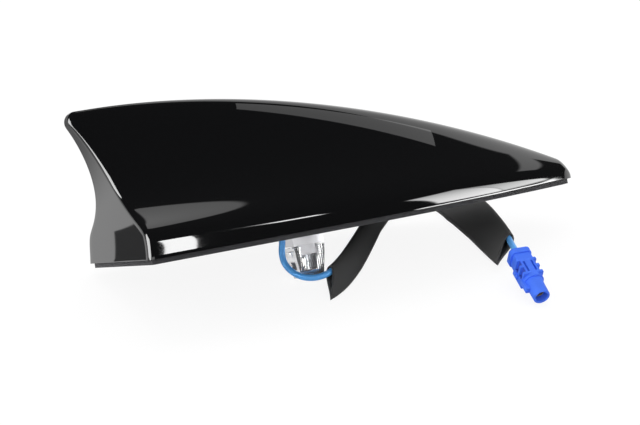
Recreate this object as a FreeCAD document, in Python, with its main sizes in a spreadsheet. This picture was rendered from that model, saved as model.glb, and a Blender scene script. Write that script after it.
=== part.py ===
# Shark-fin roof antenna for a car: glossy fin cover, sealing gasket, cast base with its clamping
# boss, sprung retaining clip, the boards inside, and the coaxial pigtail with its felt sleeve and plug.
# Frame: roof plane at z = 0, +X towards the nose, +Z up, origin on the axis of the clamp bolt.
import FreeCAD, Part
import os
import re
from math import acos, cos, hypot, pi, radians, sin, sqrt, tan

import Sketcher
from FreeCAD import Placement, Rotation, Vector

doc = FreeCAD.newDocument("roof_antenna")

# Driving dimensions, in millimetres unless the name says otherwise
SIZES = {
    # fin cover
    "nose_reach": 159.0,
    "tail_set": 98.8,
    "crest_height": 80.0,
    "crest_set": 101.0,
    "half_width": 48.0,
    "nose_half_width": 4.0,
    "nose_round": 8.0,
    "taper_set": 44.0,
    "plan_power": 2.9,
    "plan_fall": 1.1,
    "spine_drop": 0.87,
    "spine_power": 1.92,
    "lip_at_tail": 14.0,
    "lip_at_nose": 5.0,
    "cover_wall": 2.8,
    "tail_radius": 108.0,
    "tail_waist": 18.0,
    "tail_top_round": 5.0,
    # gasket and cast base
    "gasket_rise": 2.6,
    "gasket_inset": 2.2,
    "plate_thick": 3.2,
    "plate_gap": 0.4,
    "rim_high": 2.4,
    "rim_set": 1.2,
    "rim_wide": 1.8,
    "rim_nose_gap": 66.0,
    "boss_long": 17.0,
    "boss_wide": 14.0,
    "boss_drop": 6.0,
    "neck_long": 10.0,
    "neck_wide": 9.0,
    "neck_drop": 11.0,
    "hole_gap": 1.0,
    # retaining clip and clamp bolt
    "clip_top_gap": 0.8,
    "clip_long": 17.4,
    "clip_wide": 14.4,
    "clip_foot_long": 12.6,
    "clip_foot_wide": 10.4,
    "clip_drop": 22.6,
    "clip_sheet": 1.0,
    "clip_window": 10.2,
    "clip_window_drop": 12.4,
    "clip_throat": 6.6,
    "clip_side_window": 6.0,
    "clip_side_top": 14.0,
    "clip_side_foot": 18.0,
    "web_drop": 19.8,
    "barb_reach": 1.3,
    "barb_high": 2.6,
    "barb_wide": 4.0,
    "barb_top": 8.6,
    "bolt_r": 3.0,
    "bolt_gap": 0.2,
    "bolt_grip": 20.0,
    "bolt_tip": 0.6,
    "bolt_head_r": 4.0,
    "bolt_head_high": 2.4,
    "bolt_drive_r": 2.1,
    "bolt_drive_deep": 1.4,
    "bore_spare": 0.8,
    # screws
    "screw_r": 1.3,
    "screw_gap": 0.1,
    "screw_head_r": 2.6,
    "screw_head_high": 1.6,
    "screw_sink": 0.2,
    "screw_drive_r": 1.2,
    "screw_drive_deep": 0.8,
    "pillar_r": 3.4,
    "cover_bite": 8.0,
    "tail_screw_x": -76.0,
    "tail_screw_y": 33.0,
    "mid_screw_x": -6.0,
    "mid_screw_y": 35.0,
    "nose_screw_x": 84.0,
    "nose_screw_y": 20.0,
    # boards and aerials
    "board_rear": 78.0,
    "board_front": 66.0,
    "board_half": 19.0,
    "board_thick": 1.6,
    "standoff_high": 3.4,
    "standoff_r": 3.2,
    "board_screw_in": 7.0,
    "board_screw_side": 5.0,
    "board_bite": 4.0,
    "patch_side": 25.0,
    "patch_thick": 4.2,
    "patch_x": 43.0,
    "patch_corner": 2.0,
    "pin_r": 0.5,
    "pin_head_r": 1.3,
    "pin_head_high": 0.5,
    "can_long": 24.0,
    "can_wide": 20.0,
    "can_high": 3.6,
    "can_sheet": 0.4,
    "can_x": 12.0,
    "blade_rear": 68.0,
    "blade_front": 22.0,
    "blade_high": 44.0,
    "blade_thick": 1.2,
    "blade_slope": 14.0,
    "carrier_wide": 9.0,
    "carrier_high": 9.0,
    "carrier_over": 4.0,
    "carrier_floor": 2.0,
    # cable, its grommet and sleeve
    "cable_x": -13.6,
    "cable_y": -7.5,
    "cable_r": 1.65,
    "grommet_r": 3.0,
    "grommet_deep": 1.4,
    "grommet_flange_r": 4.4,
    "grommet_flange_high": 1.2,
    "ferrule_r": 2.4,
    "ferrule_high": 1.6,
    "sleeve_wide": 19.5,
    "sleeve_start_wide": 14.8,
    "sleeve_end_wide": 15.0,
    "sleeve_start_skew": 15.0,
    "sleeve_end_skew": 17.0,
    "sleeve_thick": 5.6,
    "sleeve_flap": 2.2,
    "sleeve_edge": 2.9,
    "sleeve_gap": 0.35,
    "floor_tilt_deg": 25.0,
    "floor_drop": 25.8,
    # plug, along its own axis from the back
    "plug_flange_wide": 14.0,
    "plug_flange_deep": 12.0,
    "plug_flange_thick": 2.4,
    "plug_corner": 2.2,
    "plug_body_side": 10.8,
    "plug_body_corner": 1.2,
    "plug_body_end": 16.5,
    "plug_collar_r": 5.6,
    "plug_collar_end": 19.5,
    "plug_nose_r": 4.3,
    "plug_long": 33.0,
    "plug_bore_r": 3.4,
    "plug_bore_start": 20.0,
    "slot_wide": 1.2,
    "slot_apart": 4.2,
    "slot_start": 5.0,
    "slot_long": 7.5,
    "slot_deep": 1.1,
    "lock_start": 6.0,
    "lock_long": 6.0,
    "lock_high": 1.8,
    "lock_proud": 0.4,
    "lock_drop": 2.7,
    "rail_wide": 2.4,
    "rail_high": 1.8,
    "rail_start": 11.0,
    "rail_end": 26.0,
    "cable_end": 8.0,
    "crimp_r": 2.5,
    "crimp_start": 4.0,
    "crimp_end": 12.0,
    "contact_r": 2.3,
    "contact_wall": 0.35,
    "contact_end": 30.0,
    "insulator_end": 23.0,
    "plug_pin_r": 0.5,
    "plug_pin_end": 28.5,
}

sheet = doc.addObject("Spreadsheet::Sheet", "sizes")
for row, (alias, number) in enumerate(SIZES.items(), start=1):
    sheet.set("A%d" % row, alias)
    sheet.set("B%d" % row, str(number))
    sheet.setAlias("B%d" % row, alias)
doc.recompute()

TERM = re.compile(r"[+-]?[^+-]+")
NAME = re.compile(r"[a-z_]+")


def size(alias):
    """The value of one driving dimension."""
    return float(sheet.get(alias))


def amount(text):
    """The value of a sum of named sizes, such as 'plate_thick + board_thick/2'."""
    total = 0.0
    for term in TERM.findall(text.replace(" ", "")):
        name, _, divisor = term.lstrip("+-").partition("/")
        number = size(name) if NAME.match(name) else float(name)
        number = number / float(divisor or 1)
        total += -number if term.startswith("-") else number
    return total


def formula(text):
    """The same sum as an expression on the sheet's cells."""
    return NAME.sub(lambda match: "sizes." + match.group(0), text)


def bind(thing, prop, text):
    """Ties one property of an object to the sheet."""
    thing.setExpression(prop, formula(text))


def set_place(thing, x="0", y="0", z="0"):
    """Ties an object's place to the sheet."""
    for axis, text in (("x", x), ("y", y), ("z", z)):
        bind(thing, "Placement.Base." + axis, text)


def box(name, corner, sides):
    """A box from its low corner and its three sides, all sums of named sizes."""
    solid = doc.addObject("Part::Box", name)
    for prop, text in zip(("Length", "Width", "Height"), sides):
        bind(solid, prop, text)
    set_place(solid, *corner)
    return solid


def cylinder(name, radius, height, foot):
    """An upright cylinder from the centre of its foot."""
    solid = doc.addObject("Part::Cylinder", name)
    bind(solid, "Radius", radius)
    bind(solid, "Height", height)
    set_place(solid, *foot)
    return solid


def fuse(name, solids):
    """One solid made of several."""
    whole = doc.addObject("Part::MultiFuse", name)
    whole.Shapes = solids
    whole.Refine = True
    return whole


def cut(name, base, tools):
    """A solid with other solids taken out of it."""
    result = base
    for number, tool in enumerate(tools, start=1):
        label = name if number == len(tools) else "%s_cut_%d" % (name, number)
        step = doc.addObject("Part::Cut", label)
        step.Base = result
        step.Tool = tool
        result = step
    return result


def feature(name, shape):
    """A document object that holds a shape worked out from the sheet's values."""
    thing = doc.addObject("Part::Feature", name)
    thing.Shape = shape
    return thing


def polygon_sketch(body, name, role, corners, lift="0"):
    """A closed polygon in a sketch on one of the body's own planes, each corner tied to the sheet."""
    sketch = body.newObject("Sketcher::SketchObject", name)
    plane = [item for item in body.Origin.OriginFeatures if item.Role == role][0]
    sketch.AttachmentSupport = [(plane, "")]
    sketch.MapMode = "FlatFace"
    bind(sketch, "AttachmentOffset.Base.z", lift)
    points = [Vector(amount(x), amount(y), 0) for x, y in corners]
    count = len(points)
    for number in range(count):
        sketch.addGeometry(Part.LineSegment(points[number], points[(number + 1) % count]), False)
    for number in range(count):
        sketch.addConstraint(Sketcher.Constraint("Coincident", number, 2, (number + 1) % count, 1))
    for number, (x, y) in enumerate(corners):
        for kind, text in (("DistanceX", x), ("DistanceY", y)):
            index = sketch.addConstraint(Sketcher.Constraint(kind, -1, 1, number, 1, amount(text)))
            bind(sketch, "Constraints[%d]" % index, text)
    return sketch


def turned(name, profile):
    """A body turned about Z from a profile of (radius, height) corners."""
    body = doc.addObject("PartDesign::Body", name)
    sketch = polygon_sketch(body, name + "_profile", "XZ_Plane", profile)
    turn = body.newObject("PartDesign::Revolution", name + "_turn")
    turn.Profile = sketch
    turn.ReferenceAxis = (sketch, ["V_Axis"])
    turn.Angle = 360.0
    return body


def padded(name, role, corners, height, lift="0"):
    """A body padded from a polygon on one of its planes."""
    body = doc.addObject("PartDesign::Body", name)
    sketch = polygon_sketch(body, name + "_outline", role, corners, lift)
    pad = body.newObject("PartDesign::Pad", name + "_pad")
    pad.Profile = sketch
    bind(pad, "Length", height)
    return body


def rectangle(x_low, x_high, y_low, y_high):
    """The corners of a rectangle in a sketch."""
    return [(x_low, y_low), (x_high, y_low), (x_high, y_high), (x_low, y_high)]


# Fin cover: a loft of bell-shaped sections, hollowed at the tail, with an inset loft taken out of it
BODY_SHARES = (0.0, 0.13, 0.22, 0.31, 0.40, 0.49, 0.58, 0.67, 0.76, 0.84, 0.92, 1.0)
NOSE_TURNS = (25.0, 45.0, 62.0, 76.0)
TAIL_SHARES = (
    (1.0, 0.0), (0.995, 0.0), (0.97, 0.0), (0.74, 0.08), (0.36, 0.29), (0.18, 0.65), (0.085, 1.0), (0.0, 1.0),
)
NOSE_SHARES = (
    (1.0, 0.0), (1.0, 0.0), (0.985, 0.0), (0.9, 0.25), (0.75, 0.55), (0.5, 0.85), (0.26, 1.0), (0.0, 1.0),
)
SECTION_DEGREE = 3
SKIN_STEPS = (0.0, 0.7, 1.2, 1.6, 2.0, 2.5, 3.0, 3.5, 4.0, 4.5, 5.0, 5.25, 5.5, 5.75, 6.0)
HOLLOW_STEPS = (0.0, 0.4, 0.7, 1.2, 2.0, 3.0, 4.0, 5.0, 6.0)


def fin_stations(inset, turns):
    """Places of the sections along the fin, from behind the tail to the turns of the rounded nose."""
    start = -size("tail_set") - size("tail_radius") / 4
    nose = size("nose_reach") - size("nose_round") - inset
    body = [start + share * (nose - start) for share in BODY_SHARES]
    tip = [nose + size("nose_round") * sin(radians(turn)) for turn in turns]
    return body + tip


def spine_height(x):
    """Height of the fin's spine over the roof, before the nose is rounded."""
    run = max(0.0, x + size("crest_set")) / (size("nose_reach") + size("crest_set"))
    return size("crest_height") * (1.0 - size("spine_drop") * run ** size("spine_power"))


def plan_half_width(x):
    """Half the fin's width at its lip, before the nose is rounded."""
    run = max(0.0, x + size("taper_set")) / (size("nose_reach") + size("taper_set"))
    taper = max(0.0, 1.0 - run ** size("plan_power")) ** size("plan_fall")
    return size("nose_half_width") + (size("half_width") - size("nose_half_width")) * taper


def nose_share(x, inset):
    """How far the rounded nose has closed at x: 1 behind the round, 0 at its tip."""
    run = max(0.0, x - size("nose_reach") + size("nose_round") + inset) / size("nose_round")
    return sqrt(max(0.0, 1.0 - run * run))


def half_section(x):
    """Control points (y, z) of half a section, from the lip up to the spine."""
    along = (x + size("tail_set")) / (size("nose_reach") + size("tail_set"))
    along = min(1.0, max(0.0, along))
    wide = plan_half_width(x)
    low = size("gasket_rise")
    lip = low + size("lip_at_tail") + along * (size("lip_at_nose") - size("lip_at_tail"))
    points = []
    for number, (tail, nose) in enumerate(zip(TAIL_SHARES, NOSE_SHARES)):
        y = wide * (tail[0] + along * (nose[0] - tail[0]))
        rise = tail[1] + along * (nose[1] - tail[1])
        z = lip + rise * (spine_height(x) - lip)
        if number < 2:
            z = low + number / 2 * (lip - low)
        points.append((y, z))
    return points


def inset_section(points, inset):
    """The same control points, moved inwards along the section's own normals."""
    moved = []
    last = len(points) - 1
    for number, (y, z) in enumerate(points):
        y_before, z_before = points[max(0, number - 1)]
        y_after, z_after = points[min(last, number + 1)]
        if number == last:
            y_after, z_after = -y_before, z_before
        run = hypot(y_after - y_before, z_after - z_before)
        out_y = (z_after - z_before) / run
        out_z = (y_before - y_after) / run
        moved.append((y - inset * out_y, z - inset * out_z))
    return moved


def section_wire(x, inset, low, steps):
    """A closed section: facets of a spline over the spine, and a line along the lip's foot."""
    half = inset_section(half_section(x), inset)
    half[0] = (half[0][0], low)
    closing = nose_share(x, inset)
    half = [(y * closing, low + (z - low) * closing) for y, z in half]
    poles = [Vector(x, -y, z) for y, z in half] + [Vector(x, y, z) for y, z in reversed(half[:-1])]
    spans = len(poles) - SECTION_DEGREE
    knots = [float(number) for number in range(spans + 1)]
    mults = [SECTION_DEGREE + 1] + [1] * (spans - 1) + [SECTION_DEGREE + 1]
    curve = Part.BSplineCurve()
    curve.buildFromPolesMultsKnots(poles, mults, knots, False, SECTION_DEGREE)
    places = list(steps) + [spans - step for step in reversed(steps[:-1])]
    corners = [curve.value(place) for place in places]
    return Part.makePolygon(corners + corners[:1])


def fin_loft(inset, low, steps, turns):
    """The solid under the fin's skin, moved inwards by the inset and standing on the height low."""
    wires = [section_wire(x, inset, low, steps) for x in fin_stations(inset, turns)]
    return Part.makeLoft(wires, True, False)


def tail_cutter(radius, top, corner):
    """The block behind the fin: a hollow round, turning forward over a small round at the top."""
    reach = 4 * size("half_width")
    centre = Vector(-size("tail_set") - size("tail_radius"), -reach / 2, size("tail_waist"))
    corner_z = top - corner
    corner_x = centre.x + sqrt((radius + corner) ** 2 - (corner_z - centre.z) ** 2)
    corner_centre = Vector(corner_x, centre.y, corner_z)
    towards = (corner_centre - centre).normalize()
    meeting = centre + towards * radius
    low = centre + Vector(cos(radians(-45)), 0, sin(radians(-45))) * radius
    waist = centre + Vector(radius, 0, 0)
    crown = corner_centre + Vector(0, 0, corner)
    bend = corner_centre + (Vector(0, 0, 1) - towards).normalize() * corner
    far = Vector(centre.x, centre.y, top + reach)
    over = Vector(crown.x, centre.y, top + reach)
    below = Vector(centre.x, centre.y, low.z)
    edges = [
        Part.Arc(low, waist, meeting).toShape(),
        Part.Arc(meeting, bend, crown).toShape(),
        Part.makeLine(crown, over),
        Part.makeLine(over, far),
        Part.makeLine(far, below),
        Part.makeLine(below, low),
    ]
    return Part.Face(Part.Wire(edges)).extrude(Vector(0, reach, 0))


def fin_solid(inset, low, steps, turns):
    """The lofted fin with its tail hollowed, moved inwards by the inset."""
    top = size("crest_height") - inset
    tail = tail_cutter(size("tail_radius") + inset, top, size("tail_top_round") - inset)
    return fin_loft(inset, low, steps, turns).cut(tail).Solids[0]


def outline_face(inset, height):
    """The fin's outline in plan, moved inwards by the inset, at a height of the hollow tail."""
    rise = height - size("tail_waist")
    tail = sqrt((size("tail_radius") + inset) ** 2 - rise ** 2) - size("tail_radius") - size("tail_set")
    inner = [x for x in fin_stations(inset, NOSE_TURNS) if x > tail + 1]
    side = [(x, (plan_half_width(x) - inset) * nose_share(x, inset)) for x in [tail] + inner]
    tip = [Vector(size("nose_reach") - inset, 0, 0)]
    points = [Vector(x, -y, 0) for x, y in side] + tip + [Vector(x, y, 0) for x, y in reversed(side)]
    return Part.Face(Part.makePolygon(points + points[:1]))


def raised(name, face, height, lift):
    """A face pulled straight up from a height."""
    base = feature(name + "_outline", face)
    solid = doc.addObject("Part::Extrusion", name)
    solid.Base = base
    solid.DirMode = "Custom"
    solid.Dir = Vector(0, 0, 1)
    solid.Solid = True
    bind(solid, "LengthFwd", height)
    set_place(base, z=lift)
    return solid


def common(name, solids):
    """What several solids share."""
    shared = doc.addObject("Part::MultiCommon", name)
    shared.Shapes = solids
    return shared


def group(name, solids):
    """Several separate solids in one node."""
    several = doc.addObject("Part::Compound", name)
    several.Links = solids
    return several


def hexagon(name, radius, height, foot):
    """An upright six-sided prism from the centre of its foot."""
    solid = doc.addObject("Part::Prism", name)
    solid.Polygon = 6
    bind(solid, "Circumradius", radius)
    bind(solid, "Height", height)
    set_place(solid, *foot)
    return solid


def spots(name, x, y, tail=""):
    """A mirrored pair of places, as (name, x, y)."""
    return [(name + "_left" + tail, x, y), (name + "_right" + tail, x, "-" + y)]


PLATE_TOP = "gasket_rise + plate_thick"
BOARD_LOW = "gasket_rise + plate_thick + standoff_high"
BOARD_TOP = "gasket_rise + plate_thick + standoff_high + board_thick"
SCREW_SEAT = "gasket_rise + screw_sink + screw_head_high"
COVER_SPOTS = spots("tail", "tail_screw_x", "tail_screw_y") + spots("mid", "mid_screw_x", "mid_screw_y")
COVER_SPOTS += spots("nose", "nose_screw_x", "nose_screw_y")
BOARD_SIDE = "board_half - board_screw_side"
BOARD_SPOTS = [
    ("rear_left", "-board_rear + board_screw_in", BOARD_SIDE),
    ("rear_right", "-board_rear + board_screw_in", "-board_half + board_screw_side"),
    ("front_left", "board_front - board_screw_in", BOARD_SIDE),
    ("front_right", "board_front - board_screw_in", "-board_half + board_screw_side"),
]
ENOUGH = "crest_height"

# Fin cover with six screw pillars
skin = feature("fin_skin", fin_solid(0.0, size("gasket_rise"), SKIN_STEPS, NOSE_TURNS))
hollow_low = size("gasket_rise") - size("cover_wall")
hollow = feature("fin_hollow", fin_solid(size("cover_wall"), hollow_low, HOLLOW_STEPS, ()))
shell = cut("fin_shell", skin, [hollow])
posts = [cylinder("pillar_" + n, "pillar_r", ENOUGH, (x, y, PLATE_TOP)) for n, x, y in COVER_SPOTS]
pillars = [common("pillar_trimmed_" + post.Name, [post, skin]) for post in posts]
pillar_bores = [
    cylinder("pillar_bore_" + n, "screw_r", "cover_bite", (x, y, PLATE_TOP)) for n, x, y in COVER_SPOTS
]
fin_and_pillars = fuse("fin_and_pillars", [shell] + pillars)
fin_cover = cut("fin_cover", fin_and_pillars, [fuse("pillar_bores", pillar_bores)])

# Roof gasket, open round the boss and the cable
pad = raised("gasket_pad", outline_face(size("gasket_inset"), size("gasket_rise")), "gasket_rise", "0")
opening = box(
    "gasket_opening",
    ("-boss_long/2 - hole_gap", "-boss_wide/2 - hole_gap", "0"),
    ("boss_long + hole_gap + hole_gap", "boss_wide + hole_gap + hole_gap", "gasket_rise"),
)
cable_way = cylinder("gasket_cable_way", "grommet_r + hole_gap", "gasket_rise", ("cable_x", "cable_y", "0"))
roof_gasket = cut("roof_gasket", pad, [fuse("gasket_openings", [opening, cable_way])])

# Cast base plate with rim, boss, neck and standoffs
plate_inset = size("cover_wall") + size("plate_gap")
plate_slab = raised("plate_slab", outline_face(plate_inset, size("tail_waist")), "plate_thick", "gasket_rise")
plate_front = box(
    "plate_front",
    ("nose_reach - nose_round - cover_wall - plate_gap", "-half_width", "gasket_rise"),
    ("nose_reach", "half_width + half_width", "plate_thick"),
)
plate = cut("plate", plate_slab, [plate_front])
rim_inset = plate_inset + size("rim_set")
rim_block = raised("rim_block", outline_face(rim_inset, size("tail_waist")), "rim_high", PLATE_TOP)
rim_inside_face = outline_face(rim_inset + size("rim_wide"), size("tail_waist"))
rim_inside = raised("rim_inside", rim_inside_face, "rim_high", PLATE_TOP)
rim_front = box(
    "rim_front",
    ("nose_reach - rim_nose_gap", "-half_width", PLATE_TOP),
    ("rim_nose_gap", "half_width + half_width", "rim_high"),
)
rim = cut("rim", rim_block, [rim_inside, rim_front])
boss = box(
    "boss",
    ("-boss_long/2", "-boss_wide/2", "-boss_drop"),
    ("boss_long", "boss_wide", "boss_drop + gasket_rise"),
)
neck = box(
    "neck",
    ("-neck_long/2", "-neck_wide/2", "-neck_drop"),
    ("neck_long", "neck_wide", "neck_drop - boss_drop"),
)
standoffs = [
    cylinder("standoff_" + n, "standoff_r", "standoff_high", (x, y, PLATE_TOP)) for n, x, y in BOARD_SPOTS
]
BORE_LOW = BOARD_TOP + " - board_thick - board_bite"
plate_bores = [
    cylinder("standoff_bore_" + n, "screw_r", "board_bite", (x, y, BORE_LOW)) for n, x, y in BOARD_SPOTS
]
SINK = "screw_sink + screw_head_high"
for n, x, y in COVER_SPOTS:
    foot = (x, y, "gasket_rise")
    plate_bores.append(cylinder("plate_hole_" + n, "screw_r + screw_gap", "plate_thick", foot))
    plate_bores.append(cylinder("plate_sink_" + n, "screw_head_r + screw_gap", SINK, foot))
grommet_foot = ("cable_x", "cable_y", "gasket_rise")
plate_bores.append(cylinder("grommet_hole", "grommet_r", "plate_thick", grommet_foot))
bolt_bore_high = "neck_drop - web_drop + bolt_grip + bore_spare"
plate_bores.append(cylinder("bolt_bore", "bolt_r", bolt_bore_high, ("0", "0", "-neck_drop")))
base_plate = cut("base_plate", fuse("base_casting", [plate, rim, boss, neck] + standoffs), plate_bores)

# Sprung retaining clip: a tapered sheet cage with a web for the bolt
DOWN = Rotation(Vector(1, 0, 0), -90)
CLIP_TOP = "boss_drop + clip_top_gap"


def taper(name, inset):
    """A tapered block hanging below the boss, moved inwards by the inset."""
    block = doc.addObject("Part::Wedge", name)
    ends = {
        "Xmin": "-clip_long/2" + inset, "Xmax": "clip_long/2" + inset.replace("+", "-"),
        "Zmin": "-clip_wide/2" + inset, "Zmax": "clip_wide/2" + inset.replace("+", "-"),
        "X2min": "-clip_foot_long/2" + inset, "X2max": "clip_foot_long/2" + inset.replace("+", "-"),
        "Z2min": "-clip_foot_wide/2" + inset, "Z2max": "clip_foot_wide/2" + inset.replace("+", "-"),
        "Ymin": CLIP_TOP, "Ymax": "clip_drop",
    }
    for prop, text in ends.items():
        bind(block, prop, text)
    block.Placement = Placement(Vector(0, 0, 0), DOWN)
    return block


def barb(name, side):
    """A catch on the outside of a leg, full at its top and run out at its foot."""
    block = doc.addObject("Part::Wedge", name)
    ends = {
        "Xmin": "clip_foot_long/2", "Xmax": "clip_long/2 + barb_reach",
        "Zmin": "-barb_wide/2", "Zmax": "barb_wide/2",
        "X2min": "clip_foot_long/2", "X2max": "clip_long/2 - clip_sheet/2",
        "Z2min": "-barb_wide/2", "Z2max": "barb_wide/2",
        "Ymin": "barb_top", "Ymax": "barb_top + barb_high",
    }
    for prop, text in ends.items():
        bind(block, prop, text)
    turn = Rotation(Vector(0, 0, 1), 0 if side > 0 else 180)
    block.Placement = Placement(Vector(0, 0, 0), turn.multiply(DOWN))
    return block


cage_outer = taper("cage_outer", "")
cage_inner = taper("cage_inner", " + clip_sheet")
web_slab = box(
    "web_slab",
    ("-clip_long/2", "-clip_wide/2", "-web_drop"),
    ("clip_long", "clip_wide", "clip_sheet"),
)
web = common("web", [web_slab, cage_outer])
barbs = [barb("barb_front", 1), barb("barb_rear", -1)]
wide_window = box(
    "wide_window",
    ("-clip_window/2", "-clip_wide", "-clip_window_drop"),
    ("clip_window", "clip_wide + clip_wide", "clip_window_drop"),
)
throat = box(
    "throat",
    ("-clip_throat/2", "-clip_wide", "-web_drop + clip_sheet"),
    ("clip_throat", "clip_wide + clip_wide", "web_drop - clip_sheet"),
)
side_window = box(
    "side_window",
    ("-clip_long", "-clip_side_window/2", "-clip_side_foot"),
    ("clip_long + clip_long", "clip_side_window", "clip_side_foot - clip_side_top"),
)
web_hole = cylinder("web_hole", "bolt_r + bolt_gap", "clip_drop", ("0", "0", "-clip_drop"))
cage = cut("cage", fuse("cage_and_barbs", [cage_outer] + barbs), [cage_inner])
clip_cutters = [wide_window, throat, side_window, web_hole]
retaining_clip = cut("retaining_clip", fuse("cage_and_web", [cage, web]), clip_cutters)

# Clamp bolt, driven from below
bolt_blank = turned("bolt_blank", [
    ("0", "-web_drop - bolt_head_high"),
    ("bolt_head_r", "-web_drop - bolt_head_high"),
    ("bolt_head_r", "-web_drop"),
    ("bolt_r", "-web_drop"),
    ("bolt_r", "-web_drop + bolt_grip - bolt_tip"),
    ("bolt_r - bolt_tip", "-web_drop + bolt_grip"),
    ("0", "-web_drop + bolt_grip"),
])
bolt_low = ("0", "0", "-web_drop - bolt_head_high")
bolt_drive = hexagon("bolt_drive", "bolt_drive_r", "bolt_drive_deep", bolt_low)
clamp_bolt = cut("clamp_bolt", bolt_blank, [bolt_drive])


def screw(name, x, y, head_low, shank_low, shank_long, drive_low):
    """A screw with a plain head and a six-sided drive."""
    head = cylinder(name + "_head", "screw_head_r", "screw_head_high", (x, y, head_low))
    shank = cylinder(name + "_shank", "screw_r", shank_long, (x, y, shank_low))
    drive = hexagon(name + "_drive", "screw_drive_r", "screw_drive_deep", (x, y, drive_low))
    return cut(name, fuse(name + "_blank", [head, shank]), [drive])


# Screws through the base into the cover, and through the board into the base
cover_long = "plate_thick - screw_sink - screw_head_high + cover_bite"
cover_low = "gasket_rise + screw_sink"
cover_screws = group("cover_screws", [
    screw("cover_screw_" + n, x, y, cover_low, SCREW_SEAT, cover_long, cover_low)
    for n, x, y in COVER_SPOTS
])
drive_top = BOARD_TOP + " + screw_head_high - screw_drive_deep"
board_long = "board_thick + board_bite"
board_screws = group("board_screws", [
    screw("board_screw_" + n, x, y, BOARD_TOP, BORE_LOW, board_long, drive_top)
    for n, x, y in BOARD_SPOTS
])

# Main board
board_outline = rectangle("-board_rear", "board_front", "-board_half", "board_half")
board_blank = padded("board_blank", "XY_Plane", board_outline, "board_thick", BOARD_LOW)
board_holes = [
    cylinder("board_hole_" + n, "screw_r + screw_gap", "board_thick", (x, y, BOARD_LOW))
    for n, x, y in BOARD_SPOTS
]
board_holes.append(cylinder("board_pin_hole", "pin_r", "board_thick", ("patch_x", "0", BOARD_LOW)))
main_board = cut("main_board", board_blank, board_holes)

# Satellite patch with clipped corners and its feed pin
patch_blank = padded("patch_blank", "XY_Plane", [
    ("patch_x - patch_side/2 + patch_corner", "-patch_side/2"),
    ("patch_x + patch_side/2", "-patch_side/2"),
    ("patch_x + patch_side/2", "patch_side/2 - patch_corner"),
    ("patch_x + patch_side/2 - patch_corner", "patch_side/2"),
    ("patch_x - patch_side/2", "patch_side/2"),
    ("patch_x - patch_side/2", "-patch_side/2 + patch_corner"),
], "patch_thick", BOARD_TOP)
patch_bore = cylinder("patch_bore", "pin_r", "patch_thick", ("patch_x", "0", BOARD_TOP))
gnss_patch = cut("gnss_patch", patch_blank, [patch_bore])
pin_shank = cylinder("pin_shank", "pin_r", "patch_thick + board_thick", ("patch_x", "0", BOARD_LOW))
pin_head = cylinder("pin_head", "pin_head_r", "pin_head_high", ("patch_x", "0", BOARD_TOP + " + patch_thick"))
patch_feed_pin = fuse("patch_feed_pin", [pin_shank, pin_head])

# Shield can over the receiver
can_outer = box(
    "can_outer",
    ("can_x - can_long/2", "-can_wide/2", BOARD_TOP),
    ("can_long", "can_wide", "can_high"),
)
can_inner = box(
    "can_inner",
    ("can_x - can_long/2 + can_sheet", "-can_wide/2 + can_sheet", BOARD_TOP),
    ("can_long - can_sheet - can_sheet", "can_wide - can_sheet - can_sheet", "can_high - can_sheet"),
)
shield_can = cut("shield_can", can_outer, [can_inner])

# Telephone blade standing in its carrier
carrier_block = box(
    "carrier_block",
    ("-blade_rear - carrier_over", "-carrier_wide/2", BOARD_TOP),
    ("blade_rear - blade_front + carrier_over + carrier_over", "carrier_wide", "carrier_high"),
)
carrier_slot = box(
    "carrier_slot",
    ("-blade_rear", "-blade_thick/2", BOARD_TOP + " + carrier_floor"),
    ("blade_rear - blade_front", "blade_thick", "carrier_high"),
)
blade_carrier = cut("blade_carrier", carrier_block, [carrier_slot])
blade_low = BOARD_TOP + " + carrier_floor"
phone_blade = padded("phone_blade", "XZ_Plane", [
    ("-blade_rear", blade_low),
    ("-blade_front", blade_low),
    ("-blade_front", blade_low + " + blade_high - blade_slope"),
    ("-blade_front - blade_slope", blade_low + " + blade_high"),
    ("-blade_rear", blade_low + " + blade_high"),
], "blade_thick", "-blade_thick/2")

# Cable entry: soldered ferrule under the board and grommet in the base
ferrule_foot = ("cable_x", "cable_y", BOARD_LOW + " - ferrule_high")
ferrule_block = cylinder("ferrule_block", "ferrule_r", "ferrule_high", ferrule_foot)
ferrule_bore = cylinder("ferrule_bore", "cable_r", "ferrule_high", ferrule_foot)
coax_ferrule = cut("coax_ferrule", ferrule_block, [ferrule_bore])
entry_low = ("cable_x", "cable_y", PLATE_TOP + " - grommet_deep")
entry_top = ("cable_x", "cable_y", PLATE_TOP)
grommet_plug = cylinder("grommet_plug", "grommet_r", "grommet_deep", entry_low)
grommet_flange = cylinder("grommet_flange", "grommet_flange_r", "grommet_flange_high", entry_top)
grommet_bore = cylinder("grommet_bore", "cable_r", "grommet_deep + grommet_flange_high", entry_low)
cable_grommet = cut("cable_grommet", fuse("grommet_blank", [grommet_plug, grommet_flange]), [grommet_bore])

# Route of the coaxial cable: from the board, round the clip, through the sleeve to the plug
ROUTE = [
    (size("cable_x"), size("cable_y"), amount(BOARD_LOW)),
    (size("cable_x"), size("cable_y"), 0.2),
    (-15.9, -6.7, -9.0),
    (-14.9, -9.0, -15.9),
    (-10.5, -14.9, -21.4),
    (-3.1, -17.5, -23.1),
    (6.2, -14.6, -21.8),
    (19.4, -1.8, -17.5),
    (33.1, 15.0, -12.5),
    (47.0, 32.2, -6.9),
    (60.6, 47.8, -0.3),
    (74.3, 61.6, 6.1),
    (89.5, 71.4, 10.7),
    (104.5, 72.8, 11.3),
    (116.8, 65.9, 8.1),
    (122.8, 53.6, 2.4),
    (123.3, 36.5, -5.4),
    (118.2, 13.8, -13.6),
    (110.1, -11.6, -21.0),
    (103.3, -28.5, -25.0),
]
PLUG_BACK = Vector(98.4, -42.2, -28.6)
PLUG_NOSE = Vector(95.9, -66.2, -51.2)
TANGENT_SHARE = 0.45
SLEEVE_FIRST = 6
SLEEVE_LAST = 18
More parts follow.
